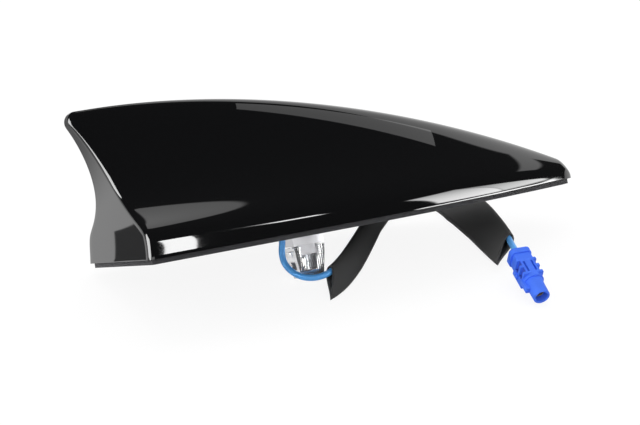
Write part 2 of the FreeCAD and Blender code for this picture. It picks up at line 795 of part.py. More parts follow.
SKEW_RUN = 6
NARROW_RUN = 12
STEEPEST = 0.72

floor_normal = Vector(0, -sin(radians(size("floor_tilt_deg"))), cos(radians(size("floor_tilt_deg"))))
floor_point = Vector(0, 0, -size("floor_drop"))
plug_axis = (PLUG_NOSE - PLUG_BACK).normalize()
route = [Vector(*point) for point in ROUTE] + [PLUG_BACK, PLUG_BACK + plug_axis * size("cable_end")]


def rounded_path(points):
    """Straight runs joined by tangent arcs, with the radius of each arc."""
    edges = []
    radii = []
    start = points[0]
    for before, corner, after in zip(points, points[1:], points[2:]):
        back = (before - corner).normalize()
        ahead = (after - corner).normalize()
        turn = pi - acos(back.dot(ahead))
        reach = TANGENT_SHARE * min((before - corner).Length, (after - corner).Length)
        radius = reach / tan(turn / 2)
        middle = corner + (back + ahead).normalize() * (radius / cos(turn / 2) - radius)
        edges.append(Part.LineSegment(start, corner + back * reach).toShape())
        edges.append(Part.Arc(corner + back * reach, middle, corner + ahead * reach).toShape())
        radii.append(radius)
        start = corner + ahead * reach
    edges.append(Part.LineSegment(start, points[-1]).toShape())
    return edges, radii


def tube(edges, radius):
    """A round bar swept along a path."""
    path = Part.Wire(edges)
    first = edges[0]
    along = first.tangentAt(first.FirstParameter)
    ring = Part.Wire(Part.makeCircle(radius, first.valueAt(first.FirstParameter), along))
    return path.makePipeShell([ring], True, False)


path_edges, path_radii = rounded_path(route)
path_length = sum(edge.Length for edge in path_edges)
coax_cable = feature("coax_cable", tube(path_edges, size("cable_r")))
print("cable radii", [round(radius, 1) for radius in path_radii], "length", round(path_length, 1))
print("cable volume ratio", round(coax_cable.Shape.Volume / (pi * size("cable_r") ** 2 * path_length), 4))


def sleeve_axes(place, along, reach):
    """The directions across and out of the felt strip, its flap lowered towards the floor."""
    level = along.cross(floor_normal).normalize()
    height = (place - floor_point).dot(floor_normal)
    slope = max(-STEEPEST, min(STEEPEST, (height - size("sleeve_flap") / 2) / reach))
    across = level * sqrt(1 - slope * slope) - floor_normal * slope
    return across, across.cross(along).normalize()


def sleeve_wire(place, along, reach, skew):
    """One section of the folded felt strip: thick round the cable, flat in its flap."""
    across, upward = sleeve_axes(place, along, reach)
    edge = size("sleeve_edge")
    thick = size("sleeve_thick") / 2
    flap = size("sleeve_flap") / 2
    corners = [
        (-edge, -thick / 2), (-edge, thick / 2), (-edge / 2, thick), (edge / 2, thick),
        (reach, flap), (reach, -flap), (edge / 2, -thick), (-edge / 2, -thick),
    ]
    points = [place + across * s + upward * n + along * (skew * s / reach) for s, n in corners]
    return Part.makePolygon(points + points[:1])


def channel_wire(place, along, reach):
    """One section of the strip's fold, eight-sided round the cable."""
    across, upward = sleeve_axes(place, along, reach)
    radius = (size("cable_r") + size("sleeve_gap")) / cos(pi / 8)
    angles = [(2 * number + 1) * pi / 8 for number in range(8)]
    points = [place + across * (radius * cos(angle)) + upward * (radius * sin(angle)) for angle in angles]
    return Part.makePolygon(points + points[:1])


def sleeve_solid():
    """The felt sleeve along its part of the cable, narrower and cut askew at both ends."""
    places = []
    for number in range(2 * SLEEVE_FIRST - 1, 2 * SLEEVE_LAST, 2):
        edge = path_edges[number]
        for share in (0.0, 0.5, 1.0):
            spot = edge.FirstParameter + share * (edge.LastParameter - edge.FirstParameter)
            places.append((edge.valueAt(spot), edge.tangentAt(spot).normalize()))
    places = places[1:]
    last = len(places) - 1
    outer = []
    inner = []
    for number, (place, along) in enumerate(places):
        wide = size("sleeve_wide")
        wide -= (wide - size("sleeve_start_wide")) * max(0, 1 - number / NARROW_RUN)
        wide -= (wide - size("sleeve_end_wide")) * max(0, 1 - (last - number) / NARROW_RUN)
        reach = wide - size("sleeve_edge")
        skew = size("sleeve_end_skew") * max(0, 1 - (last - number) / SKEW_RUN)
        skew -= size("sleeve_start_skew") * max(0, 1 - number / SKEW_RUN)
        spare = size("sleeve_thick") * ((number == last) - (number == 0))
        outer.append(sleeve_wire(place, along, reach, skew))
        inner.append(channel_wire(place + along * spare, along, reach))
    return Part.makeLoft(outer, True, True).cut(Part.makeLoft(inner, True, True)).Solids[0]


felt_sleeve = feature("felt_sleeve", sleeve_solid())

# Plug, built along its own Z from the back and then placed on the end of the cable
plug_up = (floor_normal - plug_axis * floor_normal.dot(plug_axis)).normalize()
plug_side = plug_up.cross(plug_axis)
plug_turn = FreeCAD.Matrix(
    plug_side.x, plug_up.x, plug_axis.x, PLUG_BACK.x,
    plug_side.y, plug_up.y, plug_axis.y, PLUG_BACK.y,
    plug_side.z, plug_up.z, plug_axis.z, PLUG_BACK.z,
    0, 0, 0, 1,
)


def octagon(wide, deep, corner):
    """A rectangle about the axis with its corners clipped."""
    x = wide + "/2"
    y = deep + "/2"
    return [
        ("-" + x + " + " + corner, "-" + y), (x + " - " + corner, "-" + y),
        (x, "-" + y + " + " + corner), (x, y + " - " + corner),
        (x + " - " + corner, y), ("-" + x + " + " + corner, y),
        ("-" + x, y + " - " + corner), ("-" + x, "-" + y + " + " + corner),
    ]


flange_outline = octagon("plug_flange_wide", "plug_flange_deep", "plug_corner")
body_outline = octagon("plug_body_side", "plug_body_side", "plug_body_corner")
plug_flange = padded("plug_flange", "XY_Plane", flange_outline, "plug_flange_thick")
plug_body = padded("plug_body", "XY_Plane", body_outline, "plug_body_end")
collar = cylinder("collar", "plug_collar_r", "plug_collar_end - plug_body_end", ("0", "0", "plug_body_end"))
nose = cylinder("nose", "plug_nose_r", "plug_long - plug_body_end", ("0", "0", "plug_body_end"))
rail = box(
    "rail",
    ("-rail_wide/2", "-plug_nose_r - rail_high", "rail_start"),
    ("rail_wide", "rail_high + rail_high", "rail_end - rail_start"),
)
crimp_bore = cylinder("crimp_bore", "crimp_r", "crimp_end", ("0", "0", "0"))
contact_bore = cylinder("contact_bore", "contact_r", "plug_bore_start", ("0", "0", "0"))
socket = cylinder("socket", "plug_bore_r", "plug_long - plug_bore_start", ("0", "0", "plug_bore_start"))
slot_low = "plug_body_side/2 - slot_deep"
slot_sides = ("slot_wide", "slot_deep", "slot_long")
slots = [
    box("slot_left", ("-slot_apart/2 - slot_wide", slot_low, "slot_start"), slot_sides),
    box("slot_right", ("slot_apart/2", slot_low, "slot_start"), slot_sides),
]
lock_way = box(
    "lock_way",
    ("-plug_body_side/2", "-lock_drop - lock_high", "lock_start"),
    ("plug_body_side", "lock_high", "lock_long"),
)
housing_blank = fuse("housing_blank", [plug_flange, plug_body, collar, nose, rail])
plug_housing = cut("plug_housing", housing_blank, [crimp_bore, contact_bore, socket, lock_way] + slots)
lock_outline = rectangle(
    "-plug_body_side/2 - lock_proud", "plug_body_side/2 + lock_proud", "-lock_drop - lock_high", "-lock_drop"
)
plug_lock = padded("plug_lock", "XY_Plane", lock_outline, "lock_long", "lock_start")
crimp_block = cylinder("crimp_block", "crimp_r", "crimp_end - crimp_start", ("0", "0", "crimp_start"))
crimp_way = cylinder("crimp_way", "cable_r", "cable_end - crimp_start", ("0", "0", "crimp_start"))
pin_way = cylinder("pin_way", "plug_pin_r", "plug_pin_end - cable_end", ("0", "0", "cable_end"))
plug_ferrule = cut("plug_ferrule", crimp_block, [crimp_way, pin_way])
contact_foot = ("0", "0", "crimp_end")
contact_long = "contact_end - crimp_end"
contact_block = cylinder("contact_block", "contact_r", contact_long, contact_foot)
contact_hollow = cylinder("contact_hollow", "contact_r - contact_wall", contact_long, contact_foot)
plug_shield_contact = cut("plug_shield_contact", contact_block, [contact_hollow])
insulator_long = "insulator_end - crimp_end"
insulator_block = cylinder("insulator_block", "contact_r - contact_wall", insulator_long, contact_foot)
insulator_way = cylinder("insulator_way", "plug_pin_r", insulator_long, contact_foot)
plug_insulator = cut("plug_insulator", insulator_block, [insulator_way])
plug_pin = turned("plug_pin", rectangle("0", "plug_pin_r", "cable_end", "plug_pin_end"))
PLUG_NODES = [plug_housing, plug_lock, plug_ferrule, plug_shield_contact, plug_insulator, plug_pin]

NODES = [
    fin_cover, roof_gasket, base_plate, retaining_clip, clamp_bolt, cover_screws, main_board, board_screws,
    gnss_patch, patch_feed_pin, shield_can, phone_blade, blade_carrier, coax_ferrule, cable_grommet,
    coax_cable, felt_sleeve,
] + PLUG_NODES

for node in PLUG_NODES:
    node.Placement = Placement(plug_turn)
doc.recompute()

for thing in doc.Objects:
    if "Invalid" in thing.State or "Error" in thing.State:
        raise RuntimeError("%s is in state %s" % (thing.Name, thing.State))
for node in NODES:
    if node.Shape.isNull() or not node.Shape.isValid():
        raise RuntimeError("%s has no valid shape" % node.Label)
os.makedirs("parts", exist_ok=True)
for node in NODES:
    node.Shape.exportStep("parts/%s.step" % node.Label)
    print(node.Label, len(node.Shape.Solids), round(node.Shape.Volume, 1))
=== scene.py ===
import logging
import math
from dataclasses import dataclass, field
from enum import Enum

import bmesh
import bpy
import numpy as np
from mathutils import Matrix, Quaternion, Vector


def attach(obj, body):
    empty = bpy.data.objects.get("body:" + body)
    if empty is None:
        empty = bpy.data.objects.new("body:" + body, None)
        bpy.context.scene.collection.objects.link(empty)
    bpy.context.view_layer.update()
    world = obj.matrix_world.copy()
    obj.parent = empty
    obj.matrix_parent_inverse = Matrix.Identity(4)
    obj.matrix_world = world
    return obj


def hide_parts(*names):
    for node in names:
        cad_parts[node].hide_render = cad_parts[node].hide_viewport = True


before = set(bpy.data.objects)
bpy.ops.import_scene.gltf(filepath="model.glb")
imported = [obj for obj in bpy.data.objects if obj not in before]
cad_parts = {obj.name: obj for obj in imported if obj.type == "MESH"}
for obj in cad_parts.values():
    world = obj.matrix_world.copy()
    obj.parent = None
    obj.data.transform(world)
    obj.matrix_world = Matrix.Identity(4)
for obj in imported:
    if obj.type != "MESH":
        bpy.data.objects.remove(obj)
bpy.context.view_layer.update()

LOG = logging.getLogger("roof_antenna")
MM = 0.001
ROOT = "root"
WHITE = (1.0, 1.0, 1.0, 1.0)

# The floor leans back from the part's frame and lies below its origin.
FLOOR_TILT = math.radians(25.0)
FLOOR_ORIGIN = Vector((0.0, 0.0, -25.8 * MM))
FLOOR_UV = "floor_metres"

# Points closer than this, in metres, count as one.
MERGE = 1e-6

# Angles between faces, in degrees: flat under the first, rounded over the second,
# shaded sharp over the third.
FLAT_DEG = 1.0
ROUND_DEG = 32.0
SHARP_DEG = 28.0

Point = tuple[float, float, float]
Colour = tuple[float, float, float]
Pair = tuple[float, float]
Key = str | int
Socket = bpy.types.NodeSocket
Tree = bpy.types.NodeTree


class Grain(Enum):
    """The pattern that breaks up a finish."""

    CLOUD = "cloud"
    CELLS = "cells"
    BRUSHED = "brushed"
    FIBRE = "fibre"


STRETCH: dict[Grain, Point] = {Grain.BRUSHED: (1.0, 1.0, 0.05), Grain.FIBRE: (1.0, 0.45, 1.0)}
UNSTRETCHED: Point = (1.0, 1.0, 1.0)

# Detail and roughness of the noise.
PLAIN_NOISE: Pair = (4.0, 0.55)
FIBRE_NOISE: Pair = (6.0, 0.7)
TUFT_RANGE: Pair = (0.36, 0.64)
CELL_DISORDER = 0.2
SHEEN_ROUGHNESS = 0.5


def add_node(
    tree: Tree, kind: str, inputs: dict[Key, object] | None = None, **settings: object,
) -> bpy.types.Node:
    """Adds a node to a tree.

    Args:
        tree: The tree.
        kind: Kind of node.
        inputs: Constants by input.
        settings: The node's own settings.

    Returns:
        The node.
    """
    node = tree.nodes.new(kind)
    for name, value in settings.items():
        setattr(node, name, value)
    for key, value in (inputs or {}).items():
        node.inputs[key].default_value = value
    return node


def wire(tree: Tree, *links: tuple[bpy.types.Node, Key, bpy.types.Node, Key]) -> None:
    """Links the nodes of a tree.

    Args:
        tree: The tree.
        links: Each a node and its output, then a node and its input.
    """
    for source, out, target, into in links:
        tree.links.new(source.outputs[out], target.inputs[into])


@dataclass(frozen=True)
class Finish:
    """One surface finish, made as a procedural material on Object coordinates.

    Attributes:
        name: Name of the material.
        colour: Base colour, linear.
        roughness: Roughness in the middle of its range.
        metallic: Share of metal.
        grain: Kind of pattern.
        scale: Pattern size, in repeats per metre.
        relief: Depth of the bump, in metres.
        mottle: How far the colour moves with the pattern, as a share.
        spread: How far the roughness moves with the pattern.
        gloss: Specular level of the surface.
        sheen: Weight of a sheen, for cloth.
    """

    name: str
    colour: Colour
    roughness: float
    metallic: float = 0.0
    grain: Grain = Grain.CLOUD
    scale: float = 900.0
    relief: float = 0.0
    mottle: float = 0.1
    spread: float = 0.06
    gloss: float = 0.5
    sheen: float = 0.0

    def material(self) -> bpy.types.Material:
        """Makes the material, or returns it if it was made before.

        Returns:
            The material.
        """
        made = bpy.data.materials.get(self.name)
        if made is not None:
            return made
        made = bpy.data.materials.new(self.name)
        made.use_nodes = True
        tree = made.node_tree
        shader = tree.nodes["Principled BSDF"]
        shader.inputs["Metallic"].default_value = self.metallic
        shader.inputs["Specular IOR Level"].default_value = self.gloss
        shader.inputs["Sheen Weight"].default_value = self.sheen
        shader.inputs["Sheen Roughness"].default_value = SHEEN_ROUGHNESS
        where = add_node(tree, "ShaderNodeTexCoord")
        pattern = self._pattern(tree, where.outputs["Object"])
        low = tuple(max(0.0, part * (1 - self.mottle)) for part in self.colour)
        high = tuple(min(1.0, part * (1 + self.mottle)) for part in self.colour)
        shade = add_node(tree, "ShaderNodeMix", {"A": (*low, 1), "B": (*high, 1)}, data_type="RGBA")
        rough = add_node(tree, "ShaderNodeMapRange", {
            "To Min": max(0.0, self.roughness - self.spread),
            "To Max": min(1.0, self.roughness + self.spread),
        })
        tree.links.new(pattern, shade.inputs["Factor"])
        tree.links.new(pattern, rough.inputs["Value"])
        wire(tree, (shade, "Result", shader, "Base Color"), (rough, "Result", shader, "Roughness"))
        if self.relief > 0:
            bump = add_node(tree, "ShaderNodeBump", {"Strength": 1.0, "Distance": self.relief})
            tree.links.new(pattern, bump.inputs["Height"])
            wire(tree, (bump, "Normal", shader, "Normal"))
        return made

    def _pattern(self, tree: Tree, where: Socket) -> Socket:
        """Adds the pattern's nodes.

        Args:
            tree: Node tree of the material.
            where: Socket with the place on the object.

        Returns:
            The socket that carries the pattern, from 0 to 1.
        """
        stretch = add_node(tree, "ShaderNodeMapping", {"Scale": STRETCH.get(self.grain, UNSTRETCHED)})
        tree.links.new(where, stretch.inputs["Vector"])
        if self.grain is Grain.CELLS:
            cells = add_node(tree, "ShaderNodeTexVoronoi", {"Scale": self.scale, "Randomness": CELL_DISORDER})
            wire(tree, (stretch, "Vector", cells, "Vector"))
            return cells.outputs["Distance"]
        detail, roughness = FIBRE_NOISE if self.grain is Grain.FIBRE else PLAIN_NOISE
        cloud = add_node(tree, "ShaderNodeTexNoise", {
            "Scale": self.scale, "Detail": detail, "Roughness": roughness,
        })
        wire(tree, (stretch, "Vector", cloud, "Vector"))
        if self.grain is not Grain.FIBRE:
            return cloud.outputs["Fac"]
        start, end = TUFT_RANGE
        tufts = add_node(tree, "ShaderNodeMapRange", {"From Min": start, "From Max": end})
        wire(tree, (cloud, "Fac", tufts, "Value"))
        return tufts.outputs["Result"]


@dataclass(frozen=True)
class Finishes:
    """All the finishes of the antenna."""

    cover: Finish = Finish(
        "gloss_black", (0.0035, 0.0036, 0.004), 0.035, scale=240.0, mottle=0.06, spread=0.012,
    )
    rubber: Finish = Finish(
        "rubber_black", (0.032, 0.032, 0.034), 0.7, scale=2200.0, relief=0.00004, mottle=0.2, gloss=0.2,
    )
    cast: Finish = Finish(
        "cast_alloy", (0.72, 0.73, 0.75), 0.22, metallic=0.9, grain=Grain.CELLS, scale=1100.0,
        relief=0.00008, mottle=0.2, spread=0.1,
    )
    sheet: Finish = Finish(
        "clip_sheet", (0.84, 0.85, 0.88), 0.16, metallic=0.85, grain=Grain.CELLS, scale=950.0,
        relief=0.0001, mottle=0.4, spread=0.1,
    )
    bolt: Finish = Finish(
        "bolt_zinc", (0.70, 0.72, 0.76), 0.28, metallic=0.8, scale=1800.0, relief=0.00001, mottle=0.15,
        spread=0.08,
    )
    board: Finish = Finish("board_resist", (0.02, 0.13, 0.05), 0.4, scale=1400.0, mottle=0.25)
    ceramic: Finish = Finish("patch_ceramic", (0.55, 0.47, 0.36), 0.55, scale=1800.0, mottle=0.12)
    gilt: Finish = Finish(
        "gilt_brass", (0.78, 0.60, 0.28), 0.22, metallic=1.0, grain=Grain.BRUSHED, scale=2500.0,
        relief=0.000004, mottle=0.08, spread=0.06,
    )
    tin: Finish = Finish(
        "tinned_sheet", (0.7, 0.7, 0.71), 0.3, metallic=1.0, grain=Grain.BRUSHED, scale=2000.0,
        relief=0.000006, mottle=0.08, spread=0.08,
    )
    carrier: Finish = Finish("carrier_white", (0.72, 0.72, 0.68), 0.5, scale=1500.0, mottle=0.05)
    jacket: Finish = Finish(
        "jacket_blue", (0.11, 0.43, 0.98), 0.4, scale=900.0, relief=0.00001, mottle=0.08, gloss=0.35,
    )
    felt: Finish = Finish(
        "felt_black", (0.032, 0.031, 0.031), 0.95, grain=Grain.FIBRE, scale=650.0, relief=0.0006,
        mottle=0.8, spread=0.04, gloss=0.05, sheen=0.03,
    )
    plug: Finish = Finish(
        "plug_blue", (0.018, 0.085, 0.68), 0.42, scale=1600.0, relief=0.00001, mottle=0.06, gloss=0.35,
    )
    # The lock's dark blue is partly its own colour and partly painted shade, darkening the bottoms of the
    # plug's slots and windows.
    lock: Finish = Finish("lock_blue", (0.004, 0.009, 0.11), 0.45, scale=1600.0, mottle=0.08, gloss=0.35)
    insulator: Finish = Finish("insulator_white", (0.8, 0.8, 0.77), 0.45, scale=1600.0, mottle=0.04)


FINISH = Finishes()

NODE_FINISH: dict[str, Finish] = {
    "fin_cover": FINISH.cover,
    "roof_gasket": FINISH.rubber,
    "cable_grommet": FINISH.rubber,
    "base_plate": FINISH.cast,
    "retaining_clip": FINISH.sheet,
    "clamp_bolt": FINISH.bolt,
    "cover_screws": FINISH.bolt,
    "board_screws": FINISH.bolt,
    "main_board": FINISH.board,
    "phone_blade": FINISH.board,
    "gnss_patch": FINISH.ceramic,
    "patch_feed_pin": FINISH.gilt,
    "coax_ferrule": FINISH.gilt,
    "plug_shield_contact": FINISH.gilt,
    "plug_pin": FINISH.gilt,
    "shield_can": FINISH.tin,
    "blade_carrier": FINISH.carrier,
    "coax_cable": FINISH.jacket,
    "felt_sleeve": FINISH.felt,
    "plug_housing": FINISH.plug,
    "plug_lock": FINISH.lock,
    "plug_insulator": FINISH.insulator,
    "plug_ferrule": FINISH.tin,
}


def floor_up() -> Vector:
    """The way up from the floor."""
    return Vector((0.0, -math.sin(FLOOR_TILT), math.cos(FLOOR_TILT)))


def placed(name: str, data: bpy.types.ID) -> bpy.types.Object:
    """Puts a new object into the scene.

    Args:
        name: Name of the object.
        data: Its mesh, curve, lamp or camera.

    Returns:
        The object.
    """
    made = bpy.data.objects.new(name, data)
    bpy.context.scene.collection.objects.link(made)
    return made


def new_piece(name: str, mesh: bpy.types.Mesh, finish: Finish) -> bpy.types.Object:
    """Puts a mesh into the scene with one finish.

    Args:
        name: Name of the object.
        mesh: Its mesh, in the row frame.
        finish: Its finish.

    Returns:
        The object.
    """
    mesh.materials.clear()
    mesh.materials.append(finish.material())
    return placed(name, mesh)


def mesh_of(name: str, shape: bmesh.types.BMesh) -> bpy.types.Mesh:
    """Turns a mesh in the making into a mesh.

    Args:
        name: Name of the mesh.
        shape: The mesh in the making, which is freed.

    Returns:
        The mesh.
    """
    mesh = bpy.data.meshes.new(name)
    shape.to_mesh(mesh)
    shape.free()
    return mesh


def baked(piece: bpy.types.Object) -> None:
    """Turns an object's modifiers into its mesh.

    Args:
        piece: The object.
    """
    graph = bpy.context.evaluated_depsgraph_get()
    mesh = bpy.data.meshes.new_from_object(piece.evaluated_get(graph), depsgraph=graph)
    piece.modifiers.clear()
    piece.data = mesh


def declare(piece: bpy.types.Object, *nodes: str) -> None:
    """Says what a piece rides on and which nodes it stands for.

    Args:
        piece: The piece.
        nodes: CAD nodes that it replaces.
    """
    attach(piece, ROOT)
    if nodes:
        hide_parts(*nodes)


def round_edges(piece: bpy.types.Object, width: float, segments: int, angle: float = ROUND_DEG) -> None:
    """Rounds a piece's edges.

    Args:
        piece: The piece.
        width: Width of the round, in millimetres.
        segments: Segments across the round.
        angle: Edges sharper than this are rounded, in degrees.
    """
    round_off = piece.modifiers.new("round", "BEVEL")
    round_off.width = width * MM
    round_off.segments = segments
    round_off.limit_method = "ANGLE"
    round_off.angle_limit = math.radians(angle)
    baked(piece)


def smooth(mesh: bpy.types.Mesh) -> None:
    """Shades a mesh smooth, but for its sharp edges."""
    mesh.shade_smooth()
    mesh.set_sharp_from_angle(angle=math.radians(SHARP_DEG))


def bevelled(node: str, name: str, width: float, finish: Finish, segments: int = 3) -> bpy.types.Object:
    """Makes a copy of a CAD node with its edges rounded.

    Args:
        node: CAD node to copy and replace.
        name: Name of the copy.
        width: Width of the round, in millimetres.
        finish: Its finish.
        segments: Segments across the round.

    Returns:
        The copy.
    """
    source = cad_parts[node]
    shape = bmesh.new()
    shape.from_mesh(source.data)
    shape.transform(source.matrix_world)
    bmesh.ops.remove_doubles(shape, verts=shape.verts, dist=MERGE)
    flat = math.radians(FLAT_DEG)
    bmesh.ops.dissolve_limit(shape, angle_limit=flat, verts=shape.verts, edges=shape.edges)
    made = new_piece(name, mesh_of(name, shape), finish)
    round_edges(made, width, segments)
    smooth(made.data)
    declare(made, node)
    return made


def new_tree(name: str, sizes: tuple[str, ...]) -> Tree:
    """Starts a tree with geometry in and out, named sizes and a finish.

    Args:
        name: Name of the tree.
        sizes: Names of its number inputs.

    Returns:
        The tree.
    """
    tree = bpy.data.node_groups.new(name, "GeometryNodeTree")
    for way in ("INPUT", "OUTPUT"):
        tree.interface.new_socket("Geometry", in_out=way, socket_type="NodeSocketGeometry")
    for size in sizes:
        tree.interface.new_socket(size, in_out="INPUT", socket_type="NodeSocketFloat")
    tree.interface.new_socket("Finish", in_out="INPUT", socket_type="NodeSocketMaterial")
    add_node(tree, "NodeGroupInput")
    add_node(tree, "NodeGroupOutput")
    return tree


def end_tree(tree: Tree, result: Socket) -> None:
    """Ends a tree in real geometry with its finish.

    Args:
        tree: The tree.
        result: Socket with its geometry.
    """
    real = add_node(tree, "GeometryNodeRealizeInstances")
    dress = add_node(tree, "GeometryNodeSetMaterial")
    tree.links.new(result, real.inputs["Geometry"])
    wire(
        tree,
        (real, "Geometry", dress, "Geometry"),
        (tree.nodes["Group Input"], "Finish", dress, "Material"),
        (dress, "Geometry", tree.nodes["Group Output"], "Geometry"),
    )


def run_tree(piece: bpy.types.Object, tree: Tree, values: dict[str, object]) -> None:
    """Runs a tree on a piece and keeps the result as its mesh.

    Args:
        piece: The piece.
        tree: The tree.
        values: Values by the name of the tree's input, each set by the input's identifier.
    """
    modifier = piece.modifiers.new(tree.name, "NODES")
    modifier.node_group = tree
    for item in tree.interface.items_tree:
        if item.in_out == "INPUT" and item.name in values:
            modifier[item.identifier] = values[item.name]
    baked(piece)


def nap_tree() -> Tree:
    """Builds the tree that grows short leaning fibres on a sheet.

    Returns:
        The tree.
    """
    scatter_seed, lean_seed, length_seed = 7, 11, 13
    shortest, longest = 0.7, 1.25
    tree = new_tree("felt_nap", ("Density", "Length", "Thickness", "Lean"))
    given = tree.nodes["Group Input"]
    scatter = add_node(tree, "GeometryNodeDistributePointsOnFaces", {"Seed": scatter_seed})
    fibre = add_node(tree, "GeometryNodeMeshCone", {"Vertices": 3, "Radius Top": 0.0}, fill_type="NONE")
    stray = add_node(
        tree, "FunctionNodeRandomValue",
        {"Min": (-1, -1, -1), "Max": (1, 1, 1), "Seed": lean_seed}, data_type="FLOAT_VECTOR",
    )
    lean = add_node(tree, "ShaderNodeVectorMath", operation="SCALE")
    towards = add_node(tree, "ShaderNodeVectorMath", operation="ADD")
    turn = add_node(tree, "FunctionNodeAlignRotationToVector", axis="Z")
    grown = add_node(
        tree, "FunctionNodeRandomValue",
        {"Min": shortest, "Max": longest, "Seed": length_seed}, data_type="FLOAT",
    )
    plant = add_node(tree, "GeometryNodeInstanceOnPoints")
    wire(
        tree,
        (given, "Geometry", scatter, "Mesh"),
        (given, "Density", scatter, "Density"),
        (given, "Thickness", fibre, "Radius Bottom"),
        (given, "Length", fibre, "Depth"),
        (stray, "Value", lean, "Vector"),
        (given, "Lean", lean, "Scale"),
        (scatter, "Normal", towards, 0),
        (lean, "Vector", towards, 1),
        (towards, "Vector", turn, "Vector"),
        (scatter, "Points", plant, "Points"),
        (fibre, "Mesh", plant, "Instance"),
        (turn, "Rotation", plant, "Rotation"),
        (grown, 1, plant, "Scale"),
    )
    end_tree(tree, plant.outputs["Instances"])
    return tree


def thread_tree() -> Tree:
    """Builds the tree that winds a thread's ridge round a bolt.

    Returns:
        The tree.
    """
    turn_steps, ridge_sides = 32, 4
    tree = new_tree("bolt_thread", ("Radius", "Pitch", "Height", "Ridge"))
    given = tree.nodes["Group Input"]
    turns = add_node(tree, "ShaderNodeMath", operation="DIVIDE")
    winding = add_node(tree, "GeometryNodeCurveSpiral", {"Resolution": turn_steps, "Reverse": True})
    upright = add_node(tree, "GeometryNodeSetCurveNormal", mode="Z_UP")
    ridge = add_node(tree, "GeometryNodeCurvePrimitiveCircle", {"Resolution": ridge_sides}, mode="RADIUS")
    sweep = add_node(tree, "GeometryNodeCurveToMesh", {"Fill Caps": True})
    wire(
        tree,
        (given, "Height", turns, 0),
        (given, "Pitch", turns, 1),
        (turns, "Value", winding, "Rotations"),
        (given, "Radius", winding, "Start Radius"),
        (given, "Radius", winding, "End Radius"),
        (given, "Height", winding, "Height"),
        (winding, "Curve", upright, "Curve"),
        (given, "Ridge", ridge, "Radius"),
        (upright, "Curve", sweep, "Curve"),
        (ridge, "Curve", sweep, "Profile Curve"),
    )
    end_tree(tree, sweep.outputs["Mesh"])
    return tree


